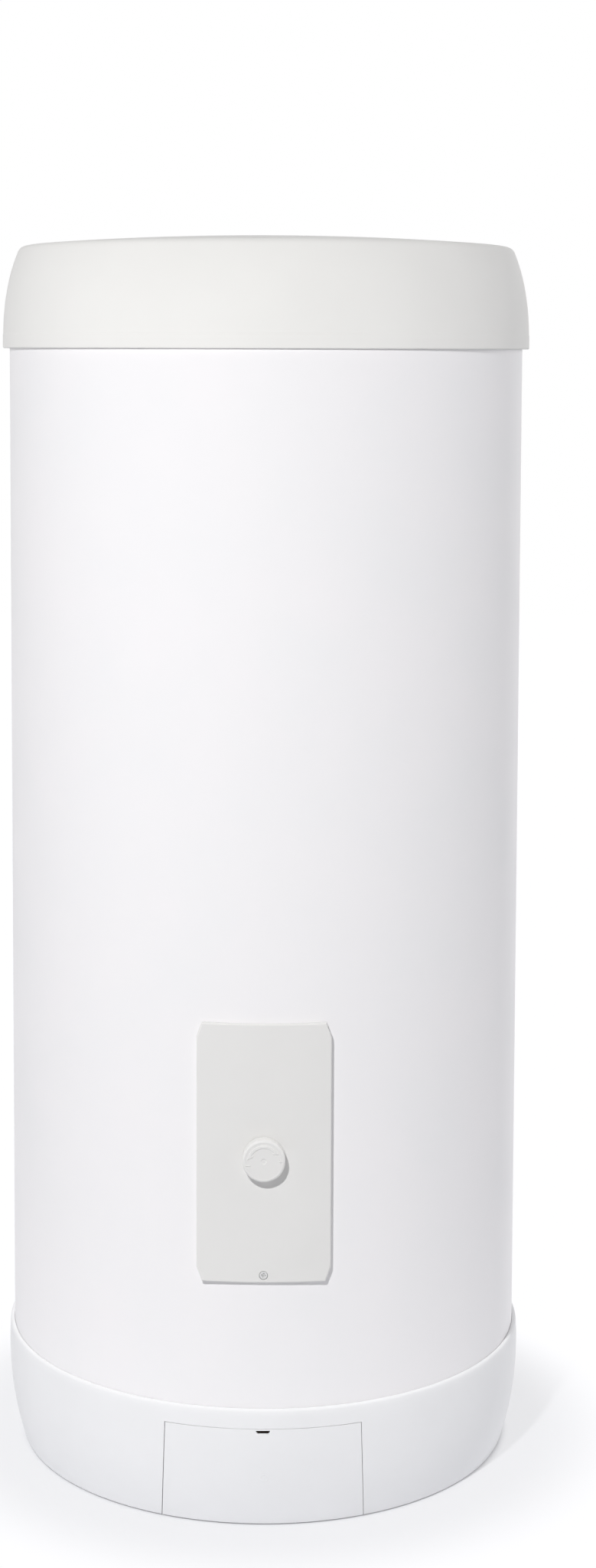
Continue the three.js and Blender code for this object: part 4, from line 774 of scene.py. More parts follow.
def make_hatch():
    """The same wall between the hatch's slanted sides, with the finger slot near its
    top and the catch behind it that hooks under the skirt's shelf."""
    slot_high = hatch_high[2] - SLOT_DROP
    slot_low = slot_high - SLOT_HEIGHT
    z = lines([hatch_low[2], slot_low, slot_high, hatch_high[2]], [5, 0.5, 0.7])
    radius = skirt_radius(z)
    side = np.arcsin(hatch_half(z, 0) / radius)
    share = np.clip((z - slot_low) / SLOT_HEIGHT, 0, 1)
    slot = (SLOT_LOW_HALF + (SLOT_TOP_HALF - SLOT_LOW_HALF) * share**SLOT_CURVE) / radius
    targets = np.stack([-side, -slot, slot, side], -1)
    across = lines([0, 1, 2, 3], [1 / 30, 1 / 6, 1 / 30])
    turn = between(across, [0, 1, 2, 3], targets)
    row = (z[1:] + z[:-1]) / 2
    column = (across[1:] + across[:-1]) / 2
    in_slot = ((column > 1) & (column < 2))[None, :]
    keep = ~(in_slot & ((row > slot_low) & (row < slot_high))[:, None])
    up = z[:, None] + 0 * turn
    up[-1] += HATCH_CROWN * (1 - (turn[-1] / side[-1]) ** 2)
    outer = wrap_round(turn, radius[:, None] + 0 * turn, up)
    inner = wrap_round(turn, radius[:, None] - SKIRT_WALL, up)
    solids = [shell(outer, inner, keep, wrap=False)]
    gate_r, above_r = skirt_radius(np.array([GATE_Z, GATE_Z + 1]))
    lean = math.atan2(above_r - gate_r, 1)
    rise, run = math.sin(lean), math.cos(lean)
    square = np.array([[1, 0, 0], [0, -rise, run], [0, -run, -rise]])
    gate_at = (GATE_X, -gate_r, GATE_Z)
    root, r, h = -GATE_ROOT, GATE_RADIUS, GATE_RISE
    wide, thin = GATE_LINE, GATE_LINE - GATE_TAPER
    ring = [[r - wide, root], [r + wide, root], [r + thin, h], [r - thin, h]]
    dot = [[0, root], [GATE_DOT, root], [GATE_DOT - GATE_TAPER, h], [0, h]]
    solids += [turned([*ring, ring[0]], gate_at, square, 40), turned(dot, gate_at, square, 16)]
    inside = -skirt_radius(np.array(CATCH_Z)) + SKIRT_WALL
    for near, far in ((-CATCH_FAR, -CATCH_NEAR), (CATCH_NEAR, CATCH_FAR)):
        low = (near, inside - CATCH_EDGE, CATCH_Z - CATCH_THICK / 2)
        high = (far, inside + CATCH_REACH, CATCH_Z + CATCH_THICK / 2)
        solids.append(block(low, high, CATCH_EDGE))
    finish = (MOULDED_SKIRT, "skirt_moulding")
    make("hatch", solids, *finish, ["base_hatch"], "hatch", bevel=MOULDED_BEVEL)


make_hatch()

# ------------------------------------------------------------------ service cover

COVER_FACE_RADIUS = 400.0
COVER_CUT_X = 5.5
COVER_CUT_Z = 15.0
COVER_WALL = 2.5
COVER_EDGE = 1.2
COVER_GAP = 0.3
COVER_EDGE_RING = 0.985
COVER_ROLL_ROWS = 6
HUB_HOLE = 6.6
COUNTERBORE = 4.6
BOSS_WALL = 1.25
BOSS_SET_BACK = 2.4
PEG_RADIUS = 2.5
PEG_LENGTH = 13.0
PEG_CHAMFER = 0.8
PEG_ROOT = 0.6

COVER_HALF = cover_high[0]
COVER_FRONT = cover_low[1]


def cover_outline(share, inset):
    """The cover's edge seen from the front, moved inwards: eight corners joined by
    straight lines. share holds the corner number plus the way along to the next."""
    half = COVER_HALF - inset
    low, high = cover_low[2] + inset, cover_high[2] - inset
    narrow = half - COVER_CUT_X
    corner_x = np.array([0, narrow, half, half, narrow, 0, -narrow, -half, -half, -narrow, 0])
    rise = np.array([low, low, low + COVER_CUT_Z, high - COVER_CUT_Z, high])
    corner_z = np.concatenate([rise, [high], rise[::-1]])
    number = np.arange(11)
    return np.interp(share, number, corner_x), np.interp(share, number, corner_z)


def cover_face(x):
    """How far back the cover's round face lies at a distance from its middle."""
    return COVER_FRONT + COVER_FACE_RADIUS - np.sqrt(COVER_FACE_RADIUS**2 - x**2)


def cover_back(x):
    """Where the cover's wall ends, just off the jacket's round sheet."""
    return -np.sqrt((JACKET_RADIUS + COVER_GAP) ** 2 - x**2)


def cover_grid(rings):
    """Rings from the hub's hole to the start of the rolled edge: each point moves
    straight from the hole's circle to its place on the outline. The columns stand
    close below the hub, where the screw's recess is cut."""
    share = lines(
        [0, 0.09, 1, 2, 3, 4, 5, 6, 7, 8, 9, 9.91, 10],
        [0.0085, 0.06, 0.25, 0.03, 0.25, 0.06, 0.06, 0.25, 0.03, 0.25, 0.06, 0.0085],
    )[:-1]
    edge_x, edge_z = cover_outline(share, COVER_EDGE)
    away = np.arctan2(edge_x, -(edge_z - KNOB_Z))
    hub_x = HUB_HOLE * np.sin(away)
    hub_z = KNOB_Z - HUB_HOLE * np.cos(away)
    across = hub_x + (edge_x - hub_x) * rings[:, None]
    up = hub_z + (edge_z - hub_z) * rings[:, None]
    return share, across, up


def make_cover():
    """The cover's face swells on a large radius; its edge is a small roll, and its
    walls run back to the jacket. Pegs at the top and a boss round the screw."""
    rings = lines([0, 0.04, 0.885, COVER_EDGE_RING, 1], [0.02, 0.06, 0.0048, 0.0075])
    share, across, up = cover_grid(rings)
    keep = np.ones((len(rings) - 1, len(share)), bool)
    wrapped_x = np.concatenate([across, across[:, :1]], 1)
    wrapped_z = np.concatenate([up, up[:, :1]], 1)
    round_hole(wrapped_x, wrapped_z, keep, (0, SCREW_Z), COUNTERBORE)
    same_up = wrapped_z[:, 0] == wrapped_z[:, -1]
    wrapped_x[:, 0] = np.where(same_up, wrapped_x[:, 0], wrapped_x[:, -1])
    across, up = wrapped_x[:, :-1], wrapped_z[:, :-1]
    face = np.stack([across, cover_face(across), up], -1)
    walls = []
    for angle in np.radians(np.linspace(0, 90, COVER_ROLL_ROWS)[1:]):
        x, z = cover_outline(share, COVER_EDGE * (1 - math.sin(angle)))
        y = cover_face(x) + COVER_EDGE * (1 - math.cos(angle))
        walls.append(np.stack([x, y, z], -1))
    x, z = cover_outline(share, 0)
    walls.append(np.stack([x, cover_back(x), z], -1))
    outer = np.concatenate([face, np.stack(walls)])

    # The inner face is the outer one a wall further back, and drawn in at its edge.
    narrow = (COVER_HALF - COVER_WALL) / (COVER_HALF - COVER_EDGE)
    to_low, to_high = KNOB_Z - cover_low[2], cover_high[2] - KNOB_Z
    lower = (to_low - COVER_WALL) / (to_low - COVER_EDGE)
    upper = (to_high - COVER_WALL) / (to_high - COVER_EDGE)
    far = smooth_step(rings, COVER_EDGE_RING, 1)[:, None]
    in_x = across * (1 + (narrow - 1) * far)
    in_z = KNOB_Z + (up - KNOB_Z) * (1 + (np.where(up < KNOB_Z, lower, upper) - 1) * far)
    inner_face = np.stack([in_x, cover_face(in_x) + COVER_WALL, in_z], -1)
    x, z = in_x[-1], in_z[-1]
    front = cover_face(x) + COVER_WALL
    steps = np.linspace(0, 1, len(walls) + 1)[1:, None]
    in_y = front + (cover_back(x) - front) * steps
    inner_side = np.stack([x + 0 * steps, in_y, z + 0 * steps], -1)
    inner = np.concatenate([inner_face, inner_side])
    keep = np.concatenate([keep, np.ones((len(walls), len(share)), bool)])
    # Rings run outwards here, so the columns are turned round to face outwards.
    solids = [shell(outer[:, ::-1], inner[:, ::-1], np.roll(keep[:, ::-1], -1, 1))]

    back, front = JACKET_RADIUS + COVER_GAP, -(COVER_FRONT + BOSS_SET_BACK)
    wide = COUNTERBORE + BOSS_WALL
    boss = [[SCREW_HOLE, back], [wide, back], [wide, front], [SCREW_HOLE, front]]
    solids.append(turned([*boss, boss[0]], (0, 0, SCREW_Z), FRONT, 48))
    for x in (-PEG_X, PEG_X):
        start = -(cover_face(x) + COVER_WALL)
        tip = start - PEG_LENGTH
        root = start + PEG_ROOT
        peg = [[0, tip], [PEG_RADIUS - PEG_CHAMFER, tip], [PEG_RADIUS, tip + PEG_CHAMFER]]
        peg += [[PEG_RADIUS, root], [0, root]]
        solids.append(turned(peg, (x, 0, PEG_Z), FRONT, 24))
    nodes = ["service_cover"]
    make("cover", solids, MOULDED_ABS, "cover_moulding", nodes, "cover", sharp=35)


make_cover()

# ------------------------------------------------------------------ knob

KNOB_EDGE = 2.8
# Places on the face are shares of its radius: the raised band's two edges and those
# of its wider ends, where it ends at the left and at the right, and the two marks.
KNOB_BAND = (0.61, 0.765)
KNOB_SERIF = (0.53, 0.78)
SERIF_LENGTH = (0.045, 0.095)
BAND_LEFT = (-0.70, 0.09)
BAND_LEFT_SLANT = (-0.447, 0.894)
BAND_RIGHT = 0.322
MINUS_AT = (-0.73, -0.19)
PLUS_AT = (0.78, 0.0)
DIMPLE = (0.09, 0.15)
DIMPLE_DEPTH = 0.5
# The marks' bars, lengthwise and across: where a bar's edge starts to fall and ends.
MINUS_BAR = (2.55, 2.85)
PLUS_BAR = (1.65, 1.95)
BAR_WIDTH = (0.35, 0.65)
KNOB_SOFT = 0.6
KNOB_SIDES = 420
KNOB_BAND_RISE = 0.8
KNOB_RIM_RISE = 0.35
KNOB_MARK_RISE = 0.5
HUB_RADIUS = 6.2
KNOB_BACK = COVER_FRONT - 0.6
KNOB_RADIUS = knob_high[0]


def bar(x, z, edge_x, edge_z):
    """One within an upright or level bar about the origin, falling to zero over its
    edges, each given by the distances where the fall starts and ends."""
    return (1 - smooth_step(np.abs(x), *edge_x)) * (1 - smooth_step(np.abs(z), *edge_z))


def knob_relief(x, z):
    """The face's height over its plane: a raised band over the top, wider at its two
    ends, a minus at the left, a plus at the right and a shallow dimple in the middle."""
    across, up = x / KNOB_RADIUS, z / KNOB_RADIUS
    far = np.hypot(across, up)
    soft = KNOB_SOFT / KNOB_RADIUS
    slant_x, slant_z = BAND_LEFT_SLANT
    slanted = slant_x * (across - BAND_LEFT[0]) + slant_z * (up - BAND_LEFT[1])
    past_end = np.where(across < 0, slanted, up - BAND_RIGHT)
    serif = 1 - smooth_step(past_end, *SERIF_LENGTH)
    inner = KNOB_BAND[0] + (KNOB_SERIF[0] - KNOB_BAND[0]) * serif
    outer = KNOB_BAND[1] + (KNOB_SERIF[1] - KNOB_BAND[1]) * serif
    band = smooth_step(far - inner, 0, soft) * (1 - smooth_step(far - outer, -soft, 0))
    height = KNOB_BAND_RISE * band * smooth_step(past_end, 0, soft)
    minus_x, minus_z = x - MINUS_AT[0] * KNOB_RADIUS, z - MINUS_AT[1] * KNOB_RADIUS
    plus_x, plus_z = x - PLUS_AT[0] * KNOB_RADIUS, z - PLUS_AT[1] * KNOB_RADIUS
    minus = bar(minus_x, minus_z, MINUS_BAR, BAR_WIDTH)
    level = bar(plus_x, plus_z, PLUS_BAR, BAR_WIDTH)
    upright = bar(plus_x, plus_z, BAR_WIDTH, PLUS_BAR)
    height = height + KNOB_MARK_RISE * (minus + np.maximum(level, upright))
    return height - DIMPLE_DEPTH * (1 - smooth_step(far, *DIMPLE))


def make_knob():
    """Rings over the face with the relief added, a round edge, a drafted side, the
    recessed back and the hub that goes through the cover."""
    angle = np.arange(KNOB_SIDES) * TAU / KNOB_SIDES
    end, back = -knob_high[1], -KNOB_BACK
    plane = -knob_low[1] - KNOB_BAND_RISE
    flat = KNOB_RADIUS - KNOB_EDGE - 0.5
    face_r = np.concatenate([[0], np.linspace(0.4, flat, 92)])
    rim = plane + KNOB_RIM_RISE - KNOB_EDGE
    roll = arc((KNOB_RADIUS - KNOB_EDGE, rim), KNOB_EDGE, 0, 88, 12)
    hub = [[0, end], [HUB_RADIUS - 0.6, end], [HUB_RADIUS, end + 0.6], [HUB_RADIUS, back + 1]]
    skirt = [[KNOB_RADIUS - 2.4, back + 1], [KNOB_RADIUS - 2.2, back]]
    skirt += [[KNOB_RADIUS - 0.6, back], [KNOB_RADIUS, back + 0.6]]
    outside = np.concatenate([hub, skirt, roll])
    radii = np.concatenate([outside[:, 0], face_r[::-1]])[:, None]
    heights = np.concatenate([outside[:, 1], np.full(len(face_r), plane)])[:, None]
    heights = heights + 0 * angle
    x = radii * np.sin(angle)
    z = -radii * np.cos(angle)
    on_face = np.arange(len(radii)) >= len(outside)
    heights = np.where(on_face[:, None], heights + knob_relief(x, z), heights)
    solids = [turned(None, (0, 0, KNOB_Z), FRONT, angles=angle, radii=radii, heights=heights)]
    nodes = ["thermostat_knob"]
    make("knob", solids, MOULDED_ABS, "cover_moulding", nodes, "knob", sharp=40)


make_knob()

# ------------------------------------------------------------------ cover screw

SCREW_HEAD = 4.2
SCREW_HEAD_THICK = 2.2
SCREW_SHANK = 2.0
THREAD_PITCH = 1.4
THREAD_DEPTH = 0.42
THREAD_CURVE = 0.8
# The cross recess: its turn, its depth, and how its arms' ends and sides fall away.
CROSS_TURN = 0.16
CROSS_DEPTH = 1.6
CROSS_LENGTH = np.array([2.1, 2.6])
CROSS_WIDTH = np.array([0.45, 0.75])


def threaded(radius, depth, pitch, heights, angle):
    """A screw thread's radius over height and angle: a triangle wave of the height
    over the pitch plus the share of a turn, to a power, cut down from the radius."""
    phase = (heights / pitch + angle / TAU) % 1
    return radius - depth * np.abs(2 * phase - 1) ** THREAD_CURVE


def pan_head_screw(origin, axes, tip, front, head, thick, shank=SCREW_SHANK, sides=144):
    """A pan head with a cross recess, and a threaded shank with a turned point."""
    angle = np.arange(sides) * TAU / sides
    seat = front - thick
    heights = np.arange(tip + 2.5, seat, THREAD_PITCH / 8)[:, None]
    thread = threaded(shank, THREAD_DEPTH, THREAD_PITCH, heights, angle)
    thread = thread * smooth_step(heights, tip - 1.5, tip + 4)
    ring = np.minimum(head * np.linspace(1, 0, 44)[:, None], head - 0.5)
    edge = [[head - 0.2, seat], [head, seat + 0.2], [head, front - 0.6]]
    edge = np.array(edge + [[head - 0.15, front - 0.25], [head - 0.5, front - 0.06]])
    x, z = ring * np.sin(angle + CROSS_TURN), -ring * np.cos(angle + CROSS_TURN)
    dome = front - 0.06 * (ring / head) ** 2
    reach = head / SCREW_HEAD
    length, width = reach * CROSS_LENGTH, reach * CROSS_WIDTH
    recess = np.maximum(bar(x, z, length, width), bar(x, z, width, length))
    flat = 0 * angle
    radii = [flat[None], thread, edge[:, :1] + flat, ring + flat]
    levels = [flat[None] + tip, heights + flat, edge[:, 1:] + flat]
    levels = np.concatenate([*levels, dome - CROSS_DEPTH * reach * recess])
    radii = np.concatenate(radii)
    return turned(None, origin, axes, angles=angle, radii=radii, heights=levels)


screw = pan_head_screw(
    (0, 0, SCREW_Z), FRONT, -screw_high[1], -screw_low[1], SCREW_HEAD, SCREW_HEAD_THICK
)
make("screw", [screw], PLATED_SCREW, "screw_steel", ["cover_screw"], "screw", sharp=50)

# ------------------------------------------------------------------ fittings

HEX_FACE = 0.47


def hex_reach(angle, flat):
    """A hexagon's radius over angle with a corner at zero: half the width across
    flats over the cosine of the angle to the middle of the nearest flat."""
    return flat / 2 / np.cos(angle % (math.pi / 3) - math.pi / 6)


def stacked(rows, origin=(0, 0, 0), axes=UP, sides=48):
    """A turned solid from rows of a radius, or one for each angle, and a height."""
    angle = np.arange(sides) * TAU / sides
    radii = np.stack([np.broadcast_to(radius, sides) for radius, _ in rows])
    heights = np.stack([np.broadcast_to(height, sides) for _, height in rows])
    return turned(None, origin, axes, angles=angle, radii=radii, heights=heights)


def hex_rows(flat, low, high, sides=48):
    """Rows of a hexagonal bar whose corners a 30 degree cone takes off at each end: at
    each angle the cut is as deep as the reach beyond the cone's foot over root three."""
    reach = hex_reach(np.arange(sides) * TAU / sides, flat)
    face = HEX_FACE * flat
    cut = (reach - face) / math.sqrt(3)
    return [(face, low), (reach, low + cut), (reach, high - cut), (face, high)]


def ring_rows(bore, rows):
    """Rows closed through a bore: from it, round them, and back along it."""
    start, end = (bore, rows[0][1]), (bore, rows[-1][1])
    return [start, *rows, end, start]


def thread_rows(radius, depth, pitch, low, high, sides=32, steps=5):
    """Rows of a screw thread between two heights."""
    angle = np.arange(sides) * TAU / sides
    heights = np.arange(low, high, pitch / steps)
    return [(threaded(radius, depth, pitch, height, angle), height) for height in heights]


VALVE_Y = centre_of("cold_inlet_pipe")[1]
VALVE_Z = centre_of("link_pipe")[2]
COLD_X = centre_of("safety_valve_knob")[0]
HOT_X = centre_of("mixing_valve_knob")[0]
PIPE_BORE = 9.8
PIPE_WALL = 1.2
OVERFLOW_BEND = 18.0
DIFFUSER_PLATE = 2.0
DIFFUSER_WINDOW = 9.0
POST_HALF = 1.5


def make_pipes():
    """Round tubes carried along their routes, each open at its ends."""
    for node, across in (("cold_supply_pipe", COLD_X), ("mixed_water_pipe", HOT_X)):
        low, high = low_high(node)
        path = [[across, y, VALVE_Z] for y in np.linspace(low[1], high[1], 5)]
        tube = swept(path, (high[0] - low[0]) / 2, PIPE_BORE, 32)
        make(node.replace("_pipe", "_tube"), [tube], COPPER, "copper", [node])
    low, high = low_high("link_pipe")
    path = [[x, VALVE_Y, VALVE_Z] for x in np.linspace(low[0], high[0], 3)]
    tube = swept(path, (high[2] - low[2]) / 2, PIPE_BORE, 32)
    make("link_tube", [tube], COPPER, "copper", ["link_pipe"])

    low, high = low_high("overflow_pipe")
    radius = (high[2] - low[2]) / 2
    corner_x, corner_y = low[0] + radius + OVERFLOW_BEND, VALVE_Y + OVERFLOW_BEND
    bend = arc((corner_x, corner_y), OVERFLOW_BEND, -90, -180, 14)
    flat = np.concatenate([[[high[0], VALVE_Y]], bend, [[low[0] + radius, high[1]]]])
    path = np.insert(flat, 2, VALVE_Z, axis=1)
    tube = swept(path, radius, radius - PIPE_WALL, 28)
    make("overflow_tube", [tube], COPPER, "copper", ["overflow_pipe"])

    low, high = low_high("hot_outlet_pipe")
    path = [[HOT_X, VALVE_Y, z] for z in np.linspace(low[2], high[2], 6)]
    tube = swept(path, (high[0] - low[0]) / 2, PIPE_BORE, 32, beside=(1, 0, 0))
    make("hot_riser", [tube], STAINLESS, "stainless", ["hot_outlet_pipe"])

    low, high = low_high("cold_inlet_pipe")
    sill = high[2] - DIFFUSER_PLATE - DIFFUSER_WINDOW
    path = [[COLD_X, VALVE_Y, z] for z in np.linspace(low[2], sill, 4)]
    solids = [swept(path, PIPE_BORE + PIPE_WALL, PIPE_BORE, 32, beside=(1, 0, 0))]
    reach = (PIPE_BORE + PIPE_WALL / 2) / math.sqrt(2)
    for x in (COLD_X - reach, COLD_X + reach):
        for y in (VALVE_Y - reach, VALVE_Y + reach):
            post_low = (x - POST_HALF, y - POST_HALF, sill - 1)
            post_high = (x + POST_HALF, y + POST_HALF, high[2] - DIFFUSER_PLATE / 2)
            solids.append(block(post_low, post_high, 0.6))
    wide = (high[0] - low[0]) / 2
    edge = high[2] - DIFFUSER_PLATE
    plate = [(0, edge), (wide - 0.4, edge), (wide, edge + 0.4), (wide, high[2] - 0.4)]
    plate += [(wide - 0.4, high[2]), (0, high[2])]
    solids.append(stacked(plate, (COLD_X, VALVE_Y, 0)))
    make("cold_riser", solids, STAINLESS, "stainless", ["cold_inlet_pipe"])


make_pipes()

NUT_FLAT = 31.0
NUT_START = 20.0
NUT_HEX_END = 32.0
NUT_END = 36.0
NUT_SEAT = 29.3
NUT_MOUTH = 11.4
PORT_RADIUS = 13.0


def make_nuts():
    """Compression nuts: a hexagon over the port, then a round collar on the pipe."""
    wide, bore = NUT_FLAT / 2 - 1.4, PORT_RADIUS + 0.4
    rows = [(bore, NUT_START), *hex_rows(NUT_FLAT, NUT_START, NUT_HEX_END)]
    rows += [(wide, NUT_HEX_END), (wide, NUT_END - 1.4), (wide - 1.2, NUT_END)]
    rows += [(NUT_MOUTH, NUT_END), (NUT_MOUTH, NUT_SEAT), (bore, NUT_SEAT), rows[0]]
    for node, x, axes in (
        ("nut_cold_riser", COLD_X, UP),
        ("nut_hot_riser", HOT_X, UP),
        ("nut_link_cold", COLD_X, RIGHT),
        ("nut_link_hot", HOT_X, LEFT),
        ("nut_cold_supply", COLD_X, REAR),
        ("nut_mixed_water", HOT_X, REAR),
    ):
        solid = stacked(rows, (x, VALVE_Y, VALVE_Z), axes)
        name = node.replace("nut_", "compression_nut_")
        make(name, [solid], BRASS, "brass", [node], sharp=20)


make_nuts()

BARREL_RADIUS = 15.0
BARREL_HALF = 17.0
BONNET_RADIUS = 12.0
BONNET_REACH = 24.0
PORT_REACH = 29.0
RELIEF_PORT_RADIUS = 9.6
GROOVE_DEPTH = 2.0
GROOVE_CURVE = 1.6
GRIP_EDGE = 2.4
GRIP_DISH = 1.2


def valve_solids(x, ports):
    """A pressed valve body: an upright barrel, a bonnet with a hexagon to the front,
    and a port with a shoulder along each of the given axes."""
    at = (x, VALVE_Y, VALVE_Z)
    r, h = BARREL_RADIUS, BARREL_HALF
    waist = [(r - 0.9, -6.4), (r - 0.9, 6.4)]
    barrel = [(0, -h), (r - 2, -h), (r - 0.6, 0.6 - h), (r, 2 - h), (r, -7.4), *waist]
    barrel += [(r, 7.4), (r, h - 2), (r - 0.6, h - 0.6), (r - 2, h), (0, h)]
    bonnet = [(0, 8), (BONNET_RADIUS, 8), (BONNET_RADIUS, 14.4)]
    bonnet += hex_rows(2 * BONNET_RADIUS - 2, 14.4, 19.6)
    bonnet += [(9.4, 19.6), (9.4, 22.8), (8.4, 23.8), (5.2, BONNET_REACH)]
    bonnet += [(4.4, 23.6), (4.4, 20), (0, 20)]
    solids = [stacked(barrel, at), stacked(bonnet, at, FRONT)]
    for axes, radius in ports:
        neck = [(0, 8), (radius, 8), (radius, 17.4), (radius + 0.9, 18.0)]
        neck += [(radius + 0.9, 19.6), (radius, 20.0)]
        neck += thread_rows(radius, 0.5, 1.8, 20.2, PORT_REACH - 1, 48)
        neck += [(radius - 1.4, PORT_REACH), (0, PORT_REACH)]
        solids.append(stacked(neck, at, axes))
    return solids


def make_valves():
    """Both valves have a port upwards and one to the rear, and the link between them;
    the relief valve also has the smaller port of the overflow pipe."""
    ports = [(UP, PORT_RADIUS), (REAR, PORT_RADIUS)]
    relief = valve_solids(COLD_X, [*ports, (RIGHT, PORT_RADIUS), (LEFT, RELIEF_PORT_RADIUS)])
    make("relief_valve_body", relief, BRASS, "brass", ["safety_valve"])
    mixer = valve_solids(HOT_X, [*ports, (LEFT, PORT_RADIUS)])
    make("mixing_valve_body", mixer, BRASS, "brass", ["mixing_valve"])


make_valves()


def valve_knob(name, node, lobes, body, material, slot):
    """A hand knob: grooves are cut into its side by a raised cosine of the angle times
    the number of lobes, to a power, fading towards the collar. Its face is dished, with
    a short upright bar across it."""
    stem, front, radius = to_front(node)
    back = -(VALVE_Y - BONNET_REACH - 0.3)
    sides = lobes * (16 if lobes > 8 else 24)
    angle = np.arange(sides) * TAU / sides
    groove = GROOVE_DEPTH * ((1 + np.cos(lobes * angle)) / 2) ** GROOVE_CURVE
    rows = [(0, stem), (3.5, stem), (4, stem + 0.5), (4, back + 3)]
    rows += [(radius - 3, back + 3), (radius - 2.6, back + 0.4), (radius - 2, back)]
    rows += [(radius - 0.7, back), (radius, back + 0.7), (radius, back + 4.2)]
    for height in np.linspace(back + 4.2, front - GRIP_EDGE, 9)[1:]:
        rows.append((radius - groove * smooth_step(height, back + 4.2, back + 7), height))
    for inset, height in arc((-GRIP_EDGE, front - GRIP_EDGE), GRIP_EDGE, 0, 90, 7)[1:]:
        rows.append((radius - groove + inset, height))
    rim = radius - groove.max() - GRIP_EDGE
    for share in np.linspace(1, 0, 9)[1:]:
        rows.append((rim * share, front - GRIP_DISH * smooth_step(share, 0.95, 0.55)))
    rows.append((0, front - GRIP_DISH))
    x, _, z = centre_of(node)
    solids = [stacked(rows, (x, 0, z), FRONT, sides)]
    pointer_low = (x - 0.8, 0.2 - front, z + 0.35 * radius)
    pointer_high = (x + 0.8, 1.6 - front, z + 0.72 * radius)
    solids.append(block(pointer_low, pointer_high, 0.4))
    make(name, solids, material, slot, [node], body, sharp=38)


RED, BLACK = (RED_PLASTIC, "red_plastic"), (BLACK_NYLON, "black_plastic")
valve_knob("mixer_handwheel", "mixing_valve_knob", 12, "mixer_knob", *RED)
valve_knob("relief_handwheel", "safety_valve_knob", 6, "relief_knob", *BLACK)

# ------------------------------------------------------------------ feet and legs

STUD_RADIUS = 5.0
STUD_HEX = 17.0
STUD_HEX_THICK = 4.0
STUD_PITCH = 1.5
LEG_SHEET = 2.5
LEG_BEND = 5.0
LEG_BORE = 5.4
PAD_EDGE = 5.0
PAD_FLUTE = 0.5
PAD_BORE = 5.4
PAD_SEAT = 3.5


def make_feet():
    """Three legs drawn as cups, each with a threaded stud, its locknut and a pad."""
    for number in (1, 2, 3):
        place = centre_of(f"support_leg_{number}")
        at = (place[0], place[1], 0)
        node = f"support_leg_{number}"
        low, high = low_high(node)
        wide = (high[0] - low[0]) / 2
        floor, top = low[2], high[2]
        middle = (wide - LEG_BEND, floor + LEG_BEND)
        rows = [(LEG_BORE, floor), *arc(middle, LEG_BEND, -90, 0, 7)]
        rows += [(wide, top), (wide - LEG_SHEET, top)]
        rows += [*arc(middle, LEG_BEND - LEG_SHEET, 0, -90, 7)]
        rows += [(LEG_BORE, floor + LEG_SHEET), (LEG_BORE, floor)]
        leg = stacked(rows, at, UP, 64)
        make(f"leg_cup_{number}", [leg], ZINC_PLATED, "galvanised", [node])

        node = f"foot_stud_{number}"
        low, high = low_high(node)
        r, hex_low = STUD_RADIUS, low_high(f"foot_pad_{number}")[1][2] + 0.3
        hex_high = hex_low + STUD_HEX_THICK
        rows = [(0, low[2]), (r - 0.7, low[2]), (r, low[2] + 0.7), (r, hex_low)]
        rows += [*hex_rows(STUD_HEX, hex_low, hex_high), (r - 0.6, hex_high)]
        rows += thread_rows(r, 0.55, STUD_PITCH, hex_high + 0.4, high[2] - 1.2, 48)
        rows += [(r - 1.1, high[2]), (0, high[2])]
        stud, name = stacked(rows, at), f"levelling_stud_{number}"
        make(name, [stud], ZINC_PLATED, "galvanised", [node], f"stud_{number}")

        node = f"foot_locknut_{number}"
        low, high = low_high(node)
        nut = stacked(ring_rows(LEG_BORE, hex_rows(STUD_HEX, low[2], high[2])), at)
        name = f"locking_nut_{number}"
        make(name, [nut], ZINC_PLATED, "galvanised", [node], sharp=20)

        node = f"foot_pad_{number}"
        low, high = low_high(node)
        wide, top = (high[0] - low[0]) / 2, high[2]
        flutes = PAD_FLUTE * (0.5 + 0.5 * np.cos(24 * np.arange(192) * TAU / 192))
        rows = [(0, 0), (wide - 1.4, 0), (wide - 0.3, 0.4), (wide - flutes, 1.6)]
        rows += [(wide - flutes, PAD_EDGE - 0.9), (wide - 1.2, PAD_EDGE)]
        rows += [(11.6, top - 0.9), (10.4, top), (6.2, top), (PAD_BORE, top - 0.8)]
        rows += [(PAD_BORE, PAD_SEAT), (0, PAD_SEAT)]
        pad, name = stacked(rows, at, UP, 192), f"nylon_pad_{number}"
        body = f"foot_{number}"
        make(name, [pad], BLACK_NYLON, "black_plastic", [node], body, sharp=40)


make_feet()

for number in (1, 2, 3):
    node = f"skirt_screw_{number}"
    low, high = low_high(node)
    middle = centre_of(node)
    solid = pan_head_screw((middle[0], middle[1], 0), DOWN, -high[2], -low[2], 3.6, 2.4)
    name = f"shelf_screw_{number}"
    make(name, [solid], ZINC_PLATED, "galvanised", [node], sharp=50)

# ------------------------------------------------------------------ wiring pocket

element_low, element_high = low_high("heating_element")
ELEMENT_Z = centre_of("element_gasket")[2]
ELEMENT_HEX = 50.0
ELEMENT_HEX_THICK = 10.0
ELEMENT_PLUG = 22.0
TERMINAL_SPREAD = 12.0
TERMINAL_RADIUS = 2.5
TERMINAL_LENGTH = 8.0
HAIRPINS_AT = (-11, 0, 11)
HAIRPIN_HALF = 9.0
SHEATH_RADIUS = 3.5
HEAD_FRONT = -element_low[1] - TERMINAL_LENGTH
HEAD_BACK = HEAD_FRONT - ELEMENT_HEX_THICK
thermostat_low, thermostat_high = low_high("thermostat")
THERMOSTAT_FRONT = thermostat_low[1] + 3.0
CASE_SPLIT = THERMOSTAT_FRONT + 9.0
RIVETS_AT = 21
